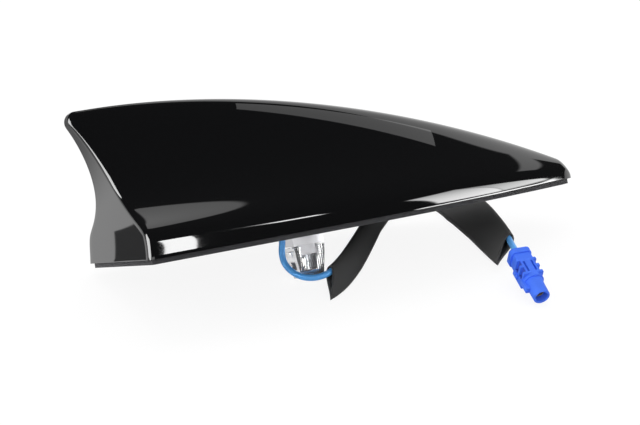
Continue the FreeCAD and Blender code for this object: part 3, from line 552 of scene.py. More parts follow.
@dataclass
class FinCover:
    """The glossy fin: bell-shaped sections along a falling spine, hollow at the tail; in millimetres.

    The shares are the control points of half a section at the tail and at the nose, from the foot of
    the lip to the spine, as shares of the half width and of the rise from the lip to the spine.
    """

    nose_reach: float = 159.0
    tail_set: float = 98.8
    crest_height: float = 80.0
    crest_set: float = 101.0
    half_width: float = 48.0
    nose_half_width: float = 4.0
    nose_round: float = 8.0
    taper_set: float = 44.0
    plan_power: float = 2.9
    plan_fall: float = 1.1
    spine_drop: float = 0.87
    spine_power: float = 1.92
    lip_at_tail: float = 14.0
    lip_at_nose: float = 5.0
    wall: float = 2.8
    tail_radius: float = 108.0
    tail_waist: float = 18.0
    tail_top_round: float = 5.0
    gasket_rise: float = 2.6
    ridge_round: float = 3.0
    ridge_share: float = 0.45
    foot_round: float = 0.5
    foot_deg: float = 55.0
    across: int = 72
    along: int = 150
    body_share: float = 0.8
    rear_steps: int = 10
    ridge_steps: int = 7
    settle_steps: int = 40
    foot_segments: int = 3
    lip_poles: int = 2
    degree: int = 3
    tail_shares: tuple[Pair, ...] = (
        (1.0, 0.0), (0.995, 0.0), (0.97, 0.0), (0.74, 0.08),
        (0.36, 0.29), (0.18, 0.65), (0.085, 1.0), (0.0, 1.0),
    )
    nose_shares: tuple[Pair, ...] = (
        (1.0, 0.0), (1.0, 0.0), (0.985, 0.0), (0.9, 0.25),
        (0.75, 0.55), (0.5, 0.85), (0.26, 1.0), (0.0, 1.0),
    )
    spot_marks: tuple[Pair, ...] = (
        (0.0, 0.0), (0.16, 1.0), (0.42, 2.4), (0.62, 4.0), (0.78, 5.0), (1.0, 6.0),
    )
    weights: dict[float, np.ndarray] = field(default_factory=dict)

    def spine_height(self, x: float) -> float:
        """Height of the spine at a place along the fin."""
        run = max(0.0, x + self.crest_set) / (self.nose_reach + self.crest_set)
        return self.crest_height * (1.0 - self.spine_drop * run ** self.spine_power)

    def plan_half(self, x: float) -> float:
        """Half the width at the lip.

        Args:
            x: Place along the fin.

        Returns:
            The half width.
        """
        run = max(0.0, x + self.taper_set) / (self.nose_reach + self.taper_set)
        taper = max(0.0, 1.0 - run ** self.plan_power) ** self.plan_fall
        return self.nose_half_width + (self.half_width - self.nose_half_width) * taper

    def closing(self, x: float, inset: float) -> float:
        """How far the rounded nose has closed: 1 behind it, 0 at its tip."""
        run = max(0.0, x - self.nose_reach + self.nose_round + inset) / self.nose_round
        return math.sqrt(max(0.0, 1.0 - run * run))

    def poles(self, x: float, inset: float) -> np.ndarray:
        """Control points of half a section.

        Args:
            x: Place along the fin.
            inset: Depth under the skin.

        Returns:
            The points (y, z), from the lip's foot to the spine.
        """
        along = min(1.0, max(0.0, (x + self.tail_set) / (self.nose_reach + self.tail_set)))
        wide = self.plan_half(x)
        low = self.gasket_rise
        lip = low + self.lip_at_tail + along * (self.lip_at_nose - self.lip_at_tail)
        crest = self.spine_height(x)
        points = []
        for number, (tail, nose) in enumerate(zip(self.tail_shares, self.nose_shares)):
            y = wide * (tail[0] + along * (nose[0] - tail[0]))
            z = lip + (tail[1] + along * (nose[1] - tail[1])) * (crest - lip)
            if number < self.lip_poles:
                z = low + number / self.lip_poles * (lip - low)
            points.append((y, z))
        moved = []
        last = len(points) - 1
        for number, (y, z) in enumerate(points):
            before = points[max(0, number - 1)]
            after = points[min(last, number + 1)]
            if number == last:
                after = (-before[0], before[1])
            run = math.hypot(after[0] - before[0], after[1] - before[1])
            moved.append((y - inset * (after[1] - before[1]) / run, z - inset * (before[0] - after[0]) / run))
        moved[0] = (moved[0][0], low)
        share = self.closing(x, inset)
        return np.array([(y * share, low + (z - low) * share) for y, z in moved])

    def basis(self, spot: float) -> np.ndarray:
        """Weights of a clamped uniform spline on a whole section's control points.

        Args:
            spot: Place round the section, in knots.

        Returns:
            One weight for each control point.
        """
        if spot in self.weights:
            return self.weights[spot]
        spans = 2 * len(self.tail_shares) - 1 - self.degree
        inner = [float(knot) for knot in range(spans + 1)]
        knots = [0.0] * self.degree + inner + [float(spans)] * self.degree
        level = [1.0 if low <= spot < high else 0.0 for low, high in zip(knots, knots[1:])]
        for order in range(1, self.degree + 1):
            level = [
                self._blend(level[i], spot - knots[i], knots[i + order] - knots[i])
                + self._blend(level[i + 1], knots[i + order + 1] - spot, knots[i + order + 1] - knots[i + 1])
                for i in range(len(level) - 1)
            ]
        self.weights[spot] = np.array(level)
        return self.weights[spot]

    @staticmethod
    def _blend(value: float, part: float, whole: float) -> float:
        """One term of the spline's recursion."""
        return value * part / whole if whole > 0 else 0.0

    def point(self, x: float, spot: float, inset: float) -> np.ndarray:
        """A point of the skin on the near side.

        Args:
            x: Place along the fin.
            spot: Place round the section, in knots.
            inset: Depth under the skin.

        Returns:
            The point.
        """
        half = self.poles(x, inset)
        full = np.vstack([half * (-1, 1), half[-2::-1]])
        y, z = self.basis(spot) @ full
        return np.array((x, y, z))

    def rear(self, z: float, inset: float) -> float:
        """Place of the hollow tail at a height.

        Args:
            z: The height.
            inset: Depth under the skin.

        Returns:
            The place along the fin.
        """
        radius = self.tail_radius + inset
        corner = self.tail_top_round - inset
        centre = -self.tail_set - self.tail_radius
        corner_z = self.crest_height - inset - corner
        corner_x = centre + math.sqrt((radius + corner) ** 2 - (corner_z - self.tail_waist) ** 2)
        meeting = self.tail_waist + (corner_z - self.tail_waist) * radius / (radius + corner)
        if z <= meeting:
            return centre + math.sqrt(radius ** 2 - (z - self.tail_waist) ** 2)
        return corner_x - math.sqrt(max(0.0, corner ** 2 - (z - corner_z) ** 2))

    def spots(self) -> list[float]:
        """Places round half a section, closer at the lip's shoulder and at the crown.

        Returns:
            The places, in knots.
        """
        shares, knots = zip(*self.spot_marks)
        places = np.interp(np.linspace(0.0, 1.0, self.across), shares, knots)
        return [float(place) for place in places]

    def line(self, spot: float, inset: float) -> list[np.ndarray]:
        """One line of the grid: across the rear face, over the rounded ridge and along to the nose.

        Args:
            spot: Place round the section, in knots.
            inset: Depth under the skin.

        Returns:
            The points of the line.
        """
        x = -self.tail_set
        for _ in range(self.settle_steps):
            x = self.rear(self.point(x, spot, inset)[2], inset)
        ridge = self.point(x, spot, inset)
        reach = min(self.ridge_round, self.ridge_share * abs(ridge[1]))
        inner = ridge + np.array((0.0, reach, 0.0))
        outer_x = x + self.ridge_round
        outer = self.point(outer_x, spot, inset)
        centre = np.array((x, 0.0, ridge[2]))
        points = [centre + (inner - centre) * step / self.rear_steps for step in range(self.rear_steps)]
        for step in range(self.ridge_steps + 1):
            share = step / self.ridge_steps
            points.append((1 - share) ** 2 * inner + 2 * share * (1 - share) * ridge + share ** 2 * outer)
        nose = self.nose_reach - self.nose_round - inset
        body = int(self.along * self.body_share)
        for step in range(1, body + 1):
            points.append(self.point(outer_x + (nose - outer_x) * step / body, spot, inset))
        for step in range(1, self.along - body + 1):
            turn = math.pi / 2 * step / (self.along - body)
            points.append(self.point(nose + self.nose_round * math.sin(turn), spot, inset))
        return points

    def grid(self, inset: float) -> np.ndarray:
        """The whole skin as lines from the near foot over the crown to the far foot.

        Args:
            inset: Depth under the skin.

        Returns:
            The points, by line and by place on the line.
        """
        near = [self.line(spot, inset) for spot in self.spots()]
        for point in near[-1]:
            point[1] = 0.0
        far = [[point * (1, -1, 1) for point in line] for line in near[-2::-1]]
        return np.array(near + far)

    def build(self) -> list[bpy.types.Object]:
        """Builds the cover as a closed shell.

        Returns:
            The cover alone.
        """
        outer = self.grid(0.0)
        inner = self.grid(self.wall)
        rows, columns, _ = outer.shape
        points = np.vstack([outer.reshape(-1, 3), inner.reshape(-1, 3)]) * MM
        faces = []
        offset = rows * columns
        for row in range(rows - 1):
            for column in range(columns - 1):
                corner = row * columns + column
                quad = (corner, corner + 1, corner + columns + 1, corner + columns)
                faces.append(quad)
                faces.append(tuple(offset + index for index in reversed(quad)))
        last = (rows - 1) * columns
        for near in range(columns - 1):
            far = last + near
            faces.append((near + 1, near, offset + near, offset + near + 1))
            faces.append((far, far + 1, offset + far + 1, offset + far))
        mesh = bpy.data.meshes.new("fin")
        mesh.from_pydata([tuple(point) for point in points], [], faces)
        shape = bmesh.new()
        shape.from_mesh(mesh)
        bmesh.ops.remove_doubles(shape, verts=shape.verts, dist=2 * MERGE)
        bmesh.ops.dissolve_degenerate(shape, edges=shape.edges, dist=MERGE)
        bmesh.ops.recalc_face_normals(shape, faces=shape.faces)
        shape.to_mesh(mesh)
        shape.free()
        made = new_piece("fin", mesh, FINISH.cover)
        round_edges(made, self.foot_round, self.foot_segments, self.foot_deg)
        made.data.shade_smooth()
        declare(made, "fin_cover")
        return [made]


@dataclass(frozen=True)
class Block:
    """A box in the plug's frame (right, up, towards the nose), with rounded long edges; in millimetres."""

    low: Point
    high: Point
    rounding: float = 0.0
    segments: int = 4

    def add(self, shape: bmesh.types.BMesh) -> None:
        """Adds the box to a mesh in the making.

        Args:
            shape: The mesh that takes the box.
        """
        middle = [(a + b) / 2 * MM for a, b in zip(self.low, self.high)]
        size = [(b - a) * MM for a, b in zip(self.low, self.high)]
        place = Matrix.Translation(middle) @ Matrix.Diagonal((*size, 1.0))
        made = bmesh.ops.create_cube(shape, size=1.0, matrix=place)
        if not self.rounding:
            return
        edges = dict.fromkeys(edge for corner in made["verts"] for edge in corner.link_edges)
        ends = {edge: [corner.co.z for corner in edge.verts] for edge in edges}
        long_edges = [edge for edge, (one, two) in ends.items() if abs(one - two) > size[2] / 2]
        bmesh.ops.bevel(
            shape, geom=long_edges, offset=self.rounding * MM, segments=self.segments, profile=0.5,
            affect="EDGES",
        )


@dataclass
class Plug:
    """The plug: a slotted, windowed housing with a flange, a collar and a keyed round nose, and its lock.

    Its ends are in metres in the row frame, and its other sizes in millimetres in its own frame.
    """

    back: Point = (0.0984, -0.0422, -0.0286)
    nose: Point = (0.0959, -0.0662, -0.0512)
    long: float = 33.0
    bore_r: float = 2.56
    collar: tuple[float, float, float] = (5.6, 20.2, 22.4)
    nose_r: float = 4.4
    nose_bore_r: float = 3.4
    nose_flare: float = 0.5
    nose_taper: float = 0.1
    nose_taper_end: float = 4.0
    nose_lap: float = 0.2
    nose_floor: float = 1.0
    steps: int = 40
    round_segments: int = 2
    body_round: float = 0.28
    lock_round: float = 0.06
    lock_side: float = 5.3
    lock_top: float = 4.9
    lock_skin: float = 0.4
    shells: tuple[Block, ...] = (
        Block((-5.7, -5.2, 1.4), (5.7, 5.2, 4.6), 2.4),
        Block((-4.8, -4.5, 4.4), (4.8, 4.5, 9.7), 1.0),
        Block((-5.5, -5.3, 9.5), (5.5, 5.3, 20.4), 0.7),
        Block((-6.5, -1.4, 19.8), (-3.7, 1.4, 27.6), 0.4),
        Block((-6.4, -3.2, 12.8), (-5.2, -1.0, 15.6), 0.2),
    )
    slots: tuple[Block, ...] = (
        Block((-2.7, 3.2, 11.4), (-1.6, 6.5, 18.8)),
        Block((1.6, 3.2, 11.4), (2.7, 6.5, 18.8)),
        Block((3.7, -0.6, 10.9), (7.0, 6.5, 14.2)),
        Block((3.7, -0.6, 15.6), (7.0, 6.5, 18.9)),
        Block((-7.0, -0.6, 10.9), (-3.7, 6.5, 14.2)),
        Block((-7.0, -0.6, 15.6), (-3.7, 6.5, 18.9)),
    )

    def matrix(self) -> Matrix:
        """Finds the way from the plug's frame to the row frame.

        Returns:
            The matrix.
        """
        away = (Vector(self.nose) - Vector(self.back)).normalized()
        up = floor_up()
        up = (up - away * up.dot(away)).normalized()
        turn = Matrix((up.cross(away), up, away)).transposed().to_4x4()
        return Matrix.Translation(self.back) @ turn

    def boxes(self, name: str, blocks: tuple[Block, ...], finish: Finish) -> bpy.types.Object:
        """Makes an object of boxes.

        Args:
            name: Name of the object.
            blocks: The boxes.
            finish: Its finish.

        Returns:
            The object, in the plug's frame.
        """
        shape = bmesh.new()
        for block in blocks:
            block.add(shape)
        return new_piece(name, mesh_of(name, shape), finish)

    def turned(self, shape: bmesh.types.BMesh, profile: list[Pair]) -> None:
        """Adds a turned ring to a mesh in the making.

        Args:
            shape: The mesh that takes the ring.
            profile: Closed outline as radius and place along the plug.
        """
        rows = []
        for number in range(self.steps):
            angle = 2 * math.pi * number / self.steps
            side, rise = MM * math.cos(angle), MM * math.sin(angle)
            rows.append([shape.verts.new((r * side, r * rise, z * MM)) for r, z in profile])
        for one, two in zip(rows, rows[1:] + rows[:1]):
            for here in range(len(profile)):
                there = (here + 1) % len(profile)
                shape.faces.new((one[here], two[here], two[there], one[there]))
        bmesh.ops.recalc_face_normals(shape, faces=shape.faces)

    def cutter(self) -> bpy.types.Object:
        """Makes the tool that cuts the slots, the windows and the bore.

        Returns:
            The tool.
        """
        tool = self.boxes("plug_cutter", self.slots, FINISH.plug)
        shape = bmesh.new()
        shape.from_mesh(tool.data)
        radius = self.bore_r * MM
        bmesh.ops.create_cone(
            shape, cap_ends=True, segments=self.steps, radius1=radius, radius2=radius,
            depth=2 * self.long * MM,
        )
        shape.to_mesh(tool.data)
        shape.free()
        return tool

    def build_housing(self) -> bpy.types.Object:
        """Builds the housing: each shell cut on its own, then joined with the collar and the nose.

        Returns:
            The housing.
        """
        tool = self.cutter()
        whole = bmesh.new()
        for number, shell in enumerate(self.shells):
            part = self.boxes(f"plug_shell_{number}", (shell,), FINISH.plug)
            cut = part.modifiers.new("cut", "BOOLEAN")
            cut.operation = "DIFFERENCE"
            cut.solver = "EXACT"
            cut.use_self = True
            cut.object = tool
            baked(part)
            whole.from_mesh(part.data)
            bpy.data.objects.remove(part)
        bpy.data.objects.remove(tool)
        radius, low, high = self.collar
        self.turned(whole, [(self.bore_r, low), (radius, low), (radius, high), (self.bore_r, high)])
        self.turned(whole, [
            (self.bore_r, high - self.nose_lap),
            (self.nose_r + self.nose_flare, high - self.nose_lap),
            (self.nose_r + self.nose_taper, high + self.nose_taper_end),
            (self.nose_r, self.long),
            (self.nose_bore_r, self.long),
            (self.nose_bore_r, high + self.nose_floor),
            (self.bore_r, high + self.nose_floor),
        ])
        body = new_piece("plug_body", mesh_of("plug_body", whole), FINISH.plug)
        return self.finished(body, self.body_round, "plug_housing")

    def build_lock(self) -> bpy.types.Object:
        """Builds the lock, seen at the bottom of the slots and windows; its dark blue is partly the lock's
        own colour and partly painted shade in the slots and windows.

        Returns:
            The lock.
        """
        side, skin = self.lock_side, self.lock_skin
        plates = []
        for slot in self.slots:
            (x0, y0, z0), (x1, _, z1) = slot.low, slot.high
            plates.append(Block((max(x0, -side), y0, z0), (min(x1, side), y0 + skin, z1)))
            if x1 > side:
                plates.append(Block((x0, y0, z0), (x0 + skin, self.lock_top, z1)))
            if x0 < -side:
                plates.append(Block((x1 - skin, y0, z0), (x1, self.lock_top, z1)))
        bar = self.boxes("plug_lock_and_painted_shade", tuple(plates), FINISH.lock)
        return self.finished(bar, self.lock_round, "plug_lock")

    def finished(self, piece: bpy.types.Object, width: float, node: str) -> bpy.types.Object:
        """Args:
            piece: The piece, in the plug's frame.
            width: Width of the round.
            node: CAD node that it replaces.

        Returns:
            The piece.
        """
        round_edges(piece, width, self.round_segments)
        piece.data.transform(self.matrix())
        smooth(piece.data)
        declare(piece, node)
        return piece

    def build(self) -> list[bpy.types.Object]:
        """Builds the housing and the lock."""
        return [self.build_housing(), self.build_lock()]


@dataclass
class Pigtail:
    """The blue cable with its felt sleeve and plug; sizes in millimetres, the route in metres.

    The sleeve covers the route from one of its points to a little past another. Its widths go with
    the share of the strip's length.
    """

    cable_r: float = 1.65
    length: float = 331.9
    line_order: int = 3
    line_steps: int = 12
    round_steps: int = 6
    sleeve_first: int = 6
    sleeve_last: int = 18
    sleeve_over: float = 8.4
    sleeve_wide: float = 19.5
    sleeve_start_skew: float = 12.5
    sleeve_end_skew: float = 17.0
    skew_run: float = 26.0
    widths: tuple[Pair, ...] = (
        (0.0, 14.8), (0.12, 13.2), (0.3, 11.6), (0.5, 13.5), (0.6, 21.0),
        (0.7, 27.0), (0.78, 26.0), (0.88, 21.5), (1.0, 15.5),
    )
    steepest: float = 0.72
    sleeve_edge: float = 2.9
    sleeve_thick: float = 5.6
    sleeve_flap: float = 2.2
    sheet: float = 0.9
    flap_steps: int = 13
    fold_steps: int = 6
    fold_share: float = 0.2
    nap_density: float = 650000.0
    nap_stand: float = 0.45
    nap_r: float = 0.035
    nap_lean: float = 0.9
    inside_plug: tuple[str, ...] = ("plug_ferrule", "plug_shield_contact", "plug_insulator", "plug_pin")
    route: tuple[Point, ...] = (
        (-0.0136, -0.0075, 0.0092),
        (-0.0136, -0.0075, 0.0002),
        (-0.0159, -0.0067, -0.0090),
        (-0.0149, -0.0090, -0.0159),
        (-0.0105, -0.0149, -0.0214),
        (-0.0031, -0.0175, -0.0231),
        (0.0062, -0.0146, -0.0218),
        (0.0194, -0.0018, -0.0175),
        (0.0331, 0.0150, -0.0125),
        (0.0470, 0.0322, -0.0069),
        (0.0606, 0.0478, -0.0003),
        (0.0743, 0.0616, 0.0061),
        (0.0895, 0.0714, 0.0107),
        (0.1045, 0.0728, 0.0113),
        (0.1168, 0.0659, 0.0081),
        (0.1228, 0.0536, 0.0024),
        (0.1233, 0.0365, -0.0054),
        (0.1182, 0.0138, -0.0136),
        (0.1101, -0.0116, -0.0210),
        (0.1033, -0.0285, -0.0250),
        (0.0984, -0.0422, -0.0286),
        (0.0978, -0.0480, -0.0341),
    )

    def curve(self, name: str, radius: float) -> bpy.types.Object:
        """Makes the route's smooth line, as thick as asked.

        Args:
            name: Name of the curve object.
            radius: Radius, 0 for a bare line.

        Returns:
            The curve object.
        """
        data = bpy.data.curves.new(name, "CURVE")
        data.dimensions = "3D"
        data.bevel_depth = radius * MM
        data.bevel_resolution = self.round_steps
        data.use_fill_caps = radius > 0
        data.resolution_u = self.line_steps
        line = data.splines.new("NURBS")
        line.points.add(len(self.route) - 1)
        for point, place in zip(line.points, self.route):
            point.co = (*place, 1.0)
        line.order_u = self.line_order
        line.use_endpoint_u = True
        return placed(name, data)

    def build_cable(self) -> bpy.types.Object:
        """Builds the cable as a round curve on the route.

        Returns:
            The cable.
        """
        cable = self.curve("cable", self.cable_r)
        cable.data.materials.append(FINISH.jacket.material())
        declare(cable, "coax_cable")
        return cable

    def sleeve_places(self) -> list[Vector]:
        """Reads the points of the route's line that the sleeve covers.

        Returns:
            The points, in order.
        """
        bare = self.curve("bare_line", 0.0)
        graph = bpy.context.evaluated_depsgraph_get()
        mesh = bpy.data.meshes.new_from_object(bare.evaluated_get(graph), depsgraph=graph)
        places = [vertex.co.copy() for vertex in mesh.vertices]
        bpy.data.objects.remove(bare)
        bpy.data.meshes.remove(mesh)
        start = Vector(self.route[self.sleeve_first])
        end = Vector(self.route[self.sleeve_last])
        end += (Vector(self.route[self.sleeve_last + 1]) - end).normalized() * self.sleeve_over * MM
        first = min(range(len(places)), key=lambda number: (places[number] - start).length)
        last = min(range(len(places)), key=lambda number: (places[number] - end).length)
        return places[first:last + 1]

    def strip_section(self, place: Vector, along: Vector, before: float, after: float) -> list[Vector]:
        """Points across the folded strip, from its lower flap edge round the cable to the upper one.

        Args:
            place: Point of the cable's line.
            along: Unit direction of the line there.
            before: Length of strip before this place.
            after: Length of strip after it.

        Returns:
            The points.
        """
        shares, sizes = zip(*self.widths)
        wide = float(np.interp(before / (before + after), shares, sizes))
        skew = self.sleeve_end_skew * max(0.0, 1 - after / self.skew_run)
        skew -= self.sleeve_start_skew * max(0.0, 1 - before / self.skew_run)
        normal = floor_up()
        level = along.cross(normal).normalized()
        height = (place - FLOOR_ORIGIN).dot(normal)
        reach = (wide - self.sleeve_edge) * MM
        slope = (height - self.sleeve_flap * MM / 2) / reach
        slope = max(-self.steepest, min(self.steepest, slope))
        across = level * math.sqrt(1 - slope * slope) - normal * slope
        upward = across.cross(along).normalized()
        thick = (self.sleeve_thick - self.sheet) / 2 * MM
        # The flap is two layers, each with its middle a quarter of the flap from the fold's middle.
        flap = self.sleeve_flap / 4 * MM
        edge = (self.sleeve_edge - self.sheet / 2) * MM
        fold = edge * self.fold_share
        half = []
        for step in range(self.flap_steps + 1):
            share = step / self.flap_steps
            rise = 0.5 - 0.5 * math.cos(math.pi * share)
            half.append((reach + (fold - reach) * share, flap + (thick - flap) * rise))
        for step in range(1, self.fold_steps + 1):
            angle = math.pi / 2 * step / self.fold_steps
            half.append((fold - math.sin(angle) * edge * (1 + self.fold_share), thick * math.cos(angle)))
        profile = [(out, -rise) for out, rise in half] + half[-2::-1]
        lag = along * (skew * MM / reach)
        return [place + across * out + upward * rise + lag * out for out, rise in profile]

    def build_sleeve(self) -> tuple[bpy.types.Object, bpy.types.Object, float]:
        """Builds the felt strip as a folded sheet round the cable, with its nap.

        Returns:
            The sleeve, its nap, and the length of the strip in metres.
        """
        places = self.sleeve_places()
        runs = [0.0]
        for here, there in zip(places, places[1:]):
            runs.append(runs[-1] + (there - here).length)
        rows = []
        for number, place in enumerate(places):
            behind = places[max(0, number - 1)]
            ahead = places[min(len(places) - 1, number + 1)]
            along = (ahead - behind).normalized()
            rows.append(self.strip_section(place, along, runs[number] / MM, (runs[-1] - runs[number]) / MM))
        columns = len(rows[0])
        points = [tuple(point) for row in rows for point in row]
        faces = []
        for row in range(len(rows) - 1):
            for column in range(columns - 1):
                corner = row * columns + column
                faces.append((corner, corner + columns, corner + columns + 1, corner + 1))
        mesh = bpy.data.meshes.new("sleeve")
        mesh.from_pydata(points, [], faces)
        made = new_piece("sleeve", mesh, FINISH.felt)
        nap = self.build_nap(mesh.copy())
        thick = made.modifiers.new("thickness", "SOLIDIFY")
        thick.thickness = self.sheet * MM
        thick.offset = 0.0
        baked(made)
        made.data.shade_smooth()
        declare(made, "felt_sleeve")
        return made, nap, runs[-1]

    def build_nap(self, sheet: bpy.types.Mesh) -> bpy.types.Object:
        """Grows the felt's short fibres on the middle of the sheet, so that only their tips stand out.

        Args:
            sheet: Mesh of the sheet's middle.

        Returns:
            The nap.
        """
        made = new_piece("felt_nap", sheet, FINISH.felt)
        run_tree(made, nap_tree(), {
            "Density": self.nap_density,
            "Length": (self.sheet / 2 + self.nap_stand) * MM,
            "Thickness": self.nap_r * MM,
            "Lean": self.nap_lean,
            "Finish": FINISH.felt.material(),
        })
        declare(made)
        return made

    def build(self) -> list[bpy.types.Object]:
        """Returns:
            The pieces.
        """
        cable = self.build_cable()
        sleeve, nap, strip_long = self.build_sleeve()
        plug = Plug().build()
        return [cable, sleeve, nap, *plug]


@dataclass
class Fixing:
    """The parts under the cover's lip: gasket, base casting, clip and clamp bolt; in millimetres."""

    base_round: float = 0.4
    clip_round: float = 0.18
    gasket_round: float = 0.5
    bolt_round: float = 0.3
    bolt_r: float = 3.0
    pitch: float = 1.0
    ridge: float = 0.5
    thread_low: float = -19.3
    thread_high: float = -1.0
    shank_lap: float = 0.1

    def build(self) -> list[bpy.types.Object]:
        """Builds the rounded casting, the clip, the gasket, and the bolt with its thread.

        Returns:
            The pieces.
        """
        return [
            bevelled("base_plate", "base_casting", self.base_round, FINISH.cast),
            bevelled("retaining_clip", "clip", self.clip_round, FINISH.sheet, segments=2),
            bevelled("roof_gasket", "gasket", self.gasket_round, FINISH.rubber),
            self.build_bolt(),
            self.build_thread(),
        ]

    def root(self) -> float:
        """Radius of the thread's root, in metres."""
        return (self.bolt_r - self.ridge) * MM

    def build_bolt(self) -> bpy.types.Object:
        """Builds the clamp bolt, its shank slimmed to the thread's root.

        Returns:
            The bolt.
        """
        bolt = bevelled("clamp_bolt", "bolt", self.bolt_round, FINISH.bolt)
        for vertex in bolt.data.vertices:
            radius = math.hypot(vertex.co.x, vertex.co.y)
            if vertex.co.z > (self.thread_low - self.shank_lap) * MM and radius > self.root():
                vertex.co.x *= self.root() / radius
                vertex.co.y *= self.root() / radius
        return bolt

    def build_thread(self) -> bpy.types.Object:
        """Winds the thread on the bolt's shank.

        Returns:
            The thread.
        """
        thread = new_piece("bolt_thread", bpy.data.meshes.new("bolt_thread"), FINISH.bolt)
        run_tree(thread, thread_tree(), {
            "Radius": self.root(),
            "Pitch": self.pitch * MM,
            "Height": (self.thread_high - self.thread_low) * MM,
            "Ridge": self.ridge * MM,
            "Finish": FINISH.bolt.material(),
        })
        thread.data.transform(Matrix.Translation((0, 0, self.thread_low * MM)))
        declare(thread)
        return thread


def area_lamp(name: str, sides: Pair, power: float, where: Vector, turn: Quaternion) -> bpy.types.Object:
    """Puts a rectangular lamp into the scene.

    Args:
        name: Name of the lamp.
        sides: Its sides, in metres.
        power: Its power, in watts.
        where: Its place in the row frame.
        turn: Its turn in the row frame.

    Returns:
        The lamp.
    """
    data = bpy.data.lights.new(name, "AREA")
    data.shape = "RECTANGLE"
    data.size, data.size_y = sides
    data.energy = power
    lamp = placed(name, data)
    lamp.location = where
    lamp.rotation_mode = "QUATERNION"
    lamp.rotation_quaternion = turn
    return lamp


@dataclass(frozen=True)
class Opening:
    """A bright opening of the dim room, seen only in reflections.

    Attributes:
        middle: Bearing of its middle over the floor, in degrees, 0 away from the viewer and 90 to the nose.
        half: Half its width, in degrees.
        foot: Height of its lower edge at the middle, in degrees.
        head: Height of its upper edge at the middle, in degrees.
        radiance: Brightness at the lower edge.
        foot_rise: Slope of the lower edge.
        head_rise: Slope of the upper edge.
        fade: Share of the brightness left at the upper edge.
        soft: Softness of the edges, in degrees.
    """

    middle: float
    half: float
    foot: float
    head: float
    radiance: float
    foot_rise: float = 0.0
    head_rise: float = 0.0
    fade: float = 1.0
    soft: float = 1.0


@dataclass(frozen=True)
class StripLamp:
    """A strip lamp that shows in reflections alone.

    Attributes:
        name: Name of the lamp.
        middle: Its middle over the floor, in millimetres.
        along: The way along it, in the floor's directions.
        across: The way across it, in the floor's directions.
        size: Its sides, in millimetres.
        radiance: Its brightness.
    """

    name: str
    middle: Point
    along: Point
    across: Point
    size: Pair
    radiance: float

    def build(self, axes: Matrix, where: Vector) -> None:
        """Builds the lamp.

        Args:
            axes: The floor's directions.
            where: The lamp's middle in the row frame.
        """
        wide, high = (side * MM for side in self.size)
        across = Vector(self.across).normalized()
        back = Vector(self.along).cross(across).normalized()
        turn = axes @ Matrix((across.cross(back), across, back)).transposed()
        power = self.radiance * math.pi * wide * high
        lamp = area_lamp(self.name, (wide, high), power, where, turn.to_quaternion())
        lamp.visible_diffuse = False
        lamp.visible_transmission = False


@dataclass(frozen=True)
class SoftLamp:
    """A soft lamp that reflections don't show.

    Attributes:
        name: Name of the lamp.
        middle: Its middle over the floor, in metres.
        size: Its sides, in metres.
        power: Its power, in watts.
    """

    name: str
    middle: Point
    size: Pair
    power: float

    def build(self, where: Vector, aim: Vector) -> None:
        """Builds the lamp.

        Args:
            where: The lamp's middle in the row frame.
            aim: Where it points.
        """
        turn = (aim - where).to_track_quat("-Z", "Y")
        lamp = area_lamp(self.name, self.size, self.power, where, turn)
        lamp.visible_glossy = False


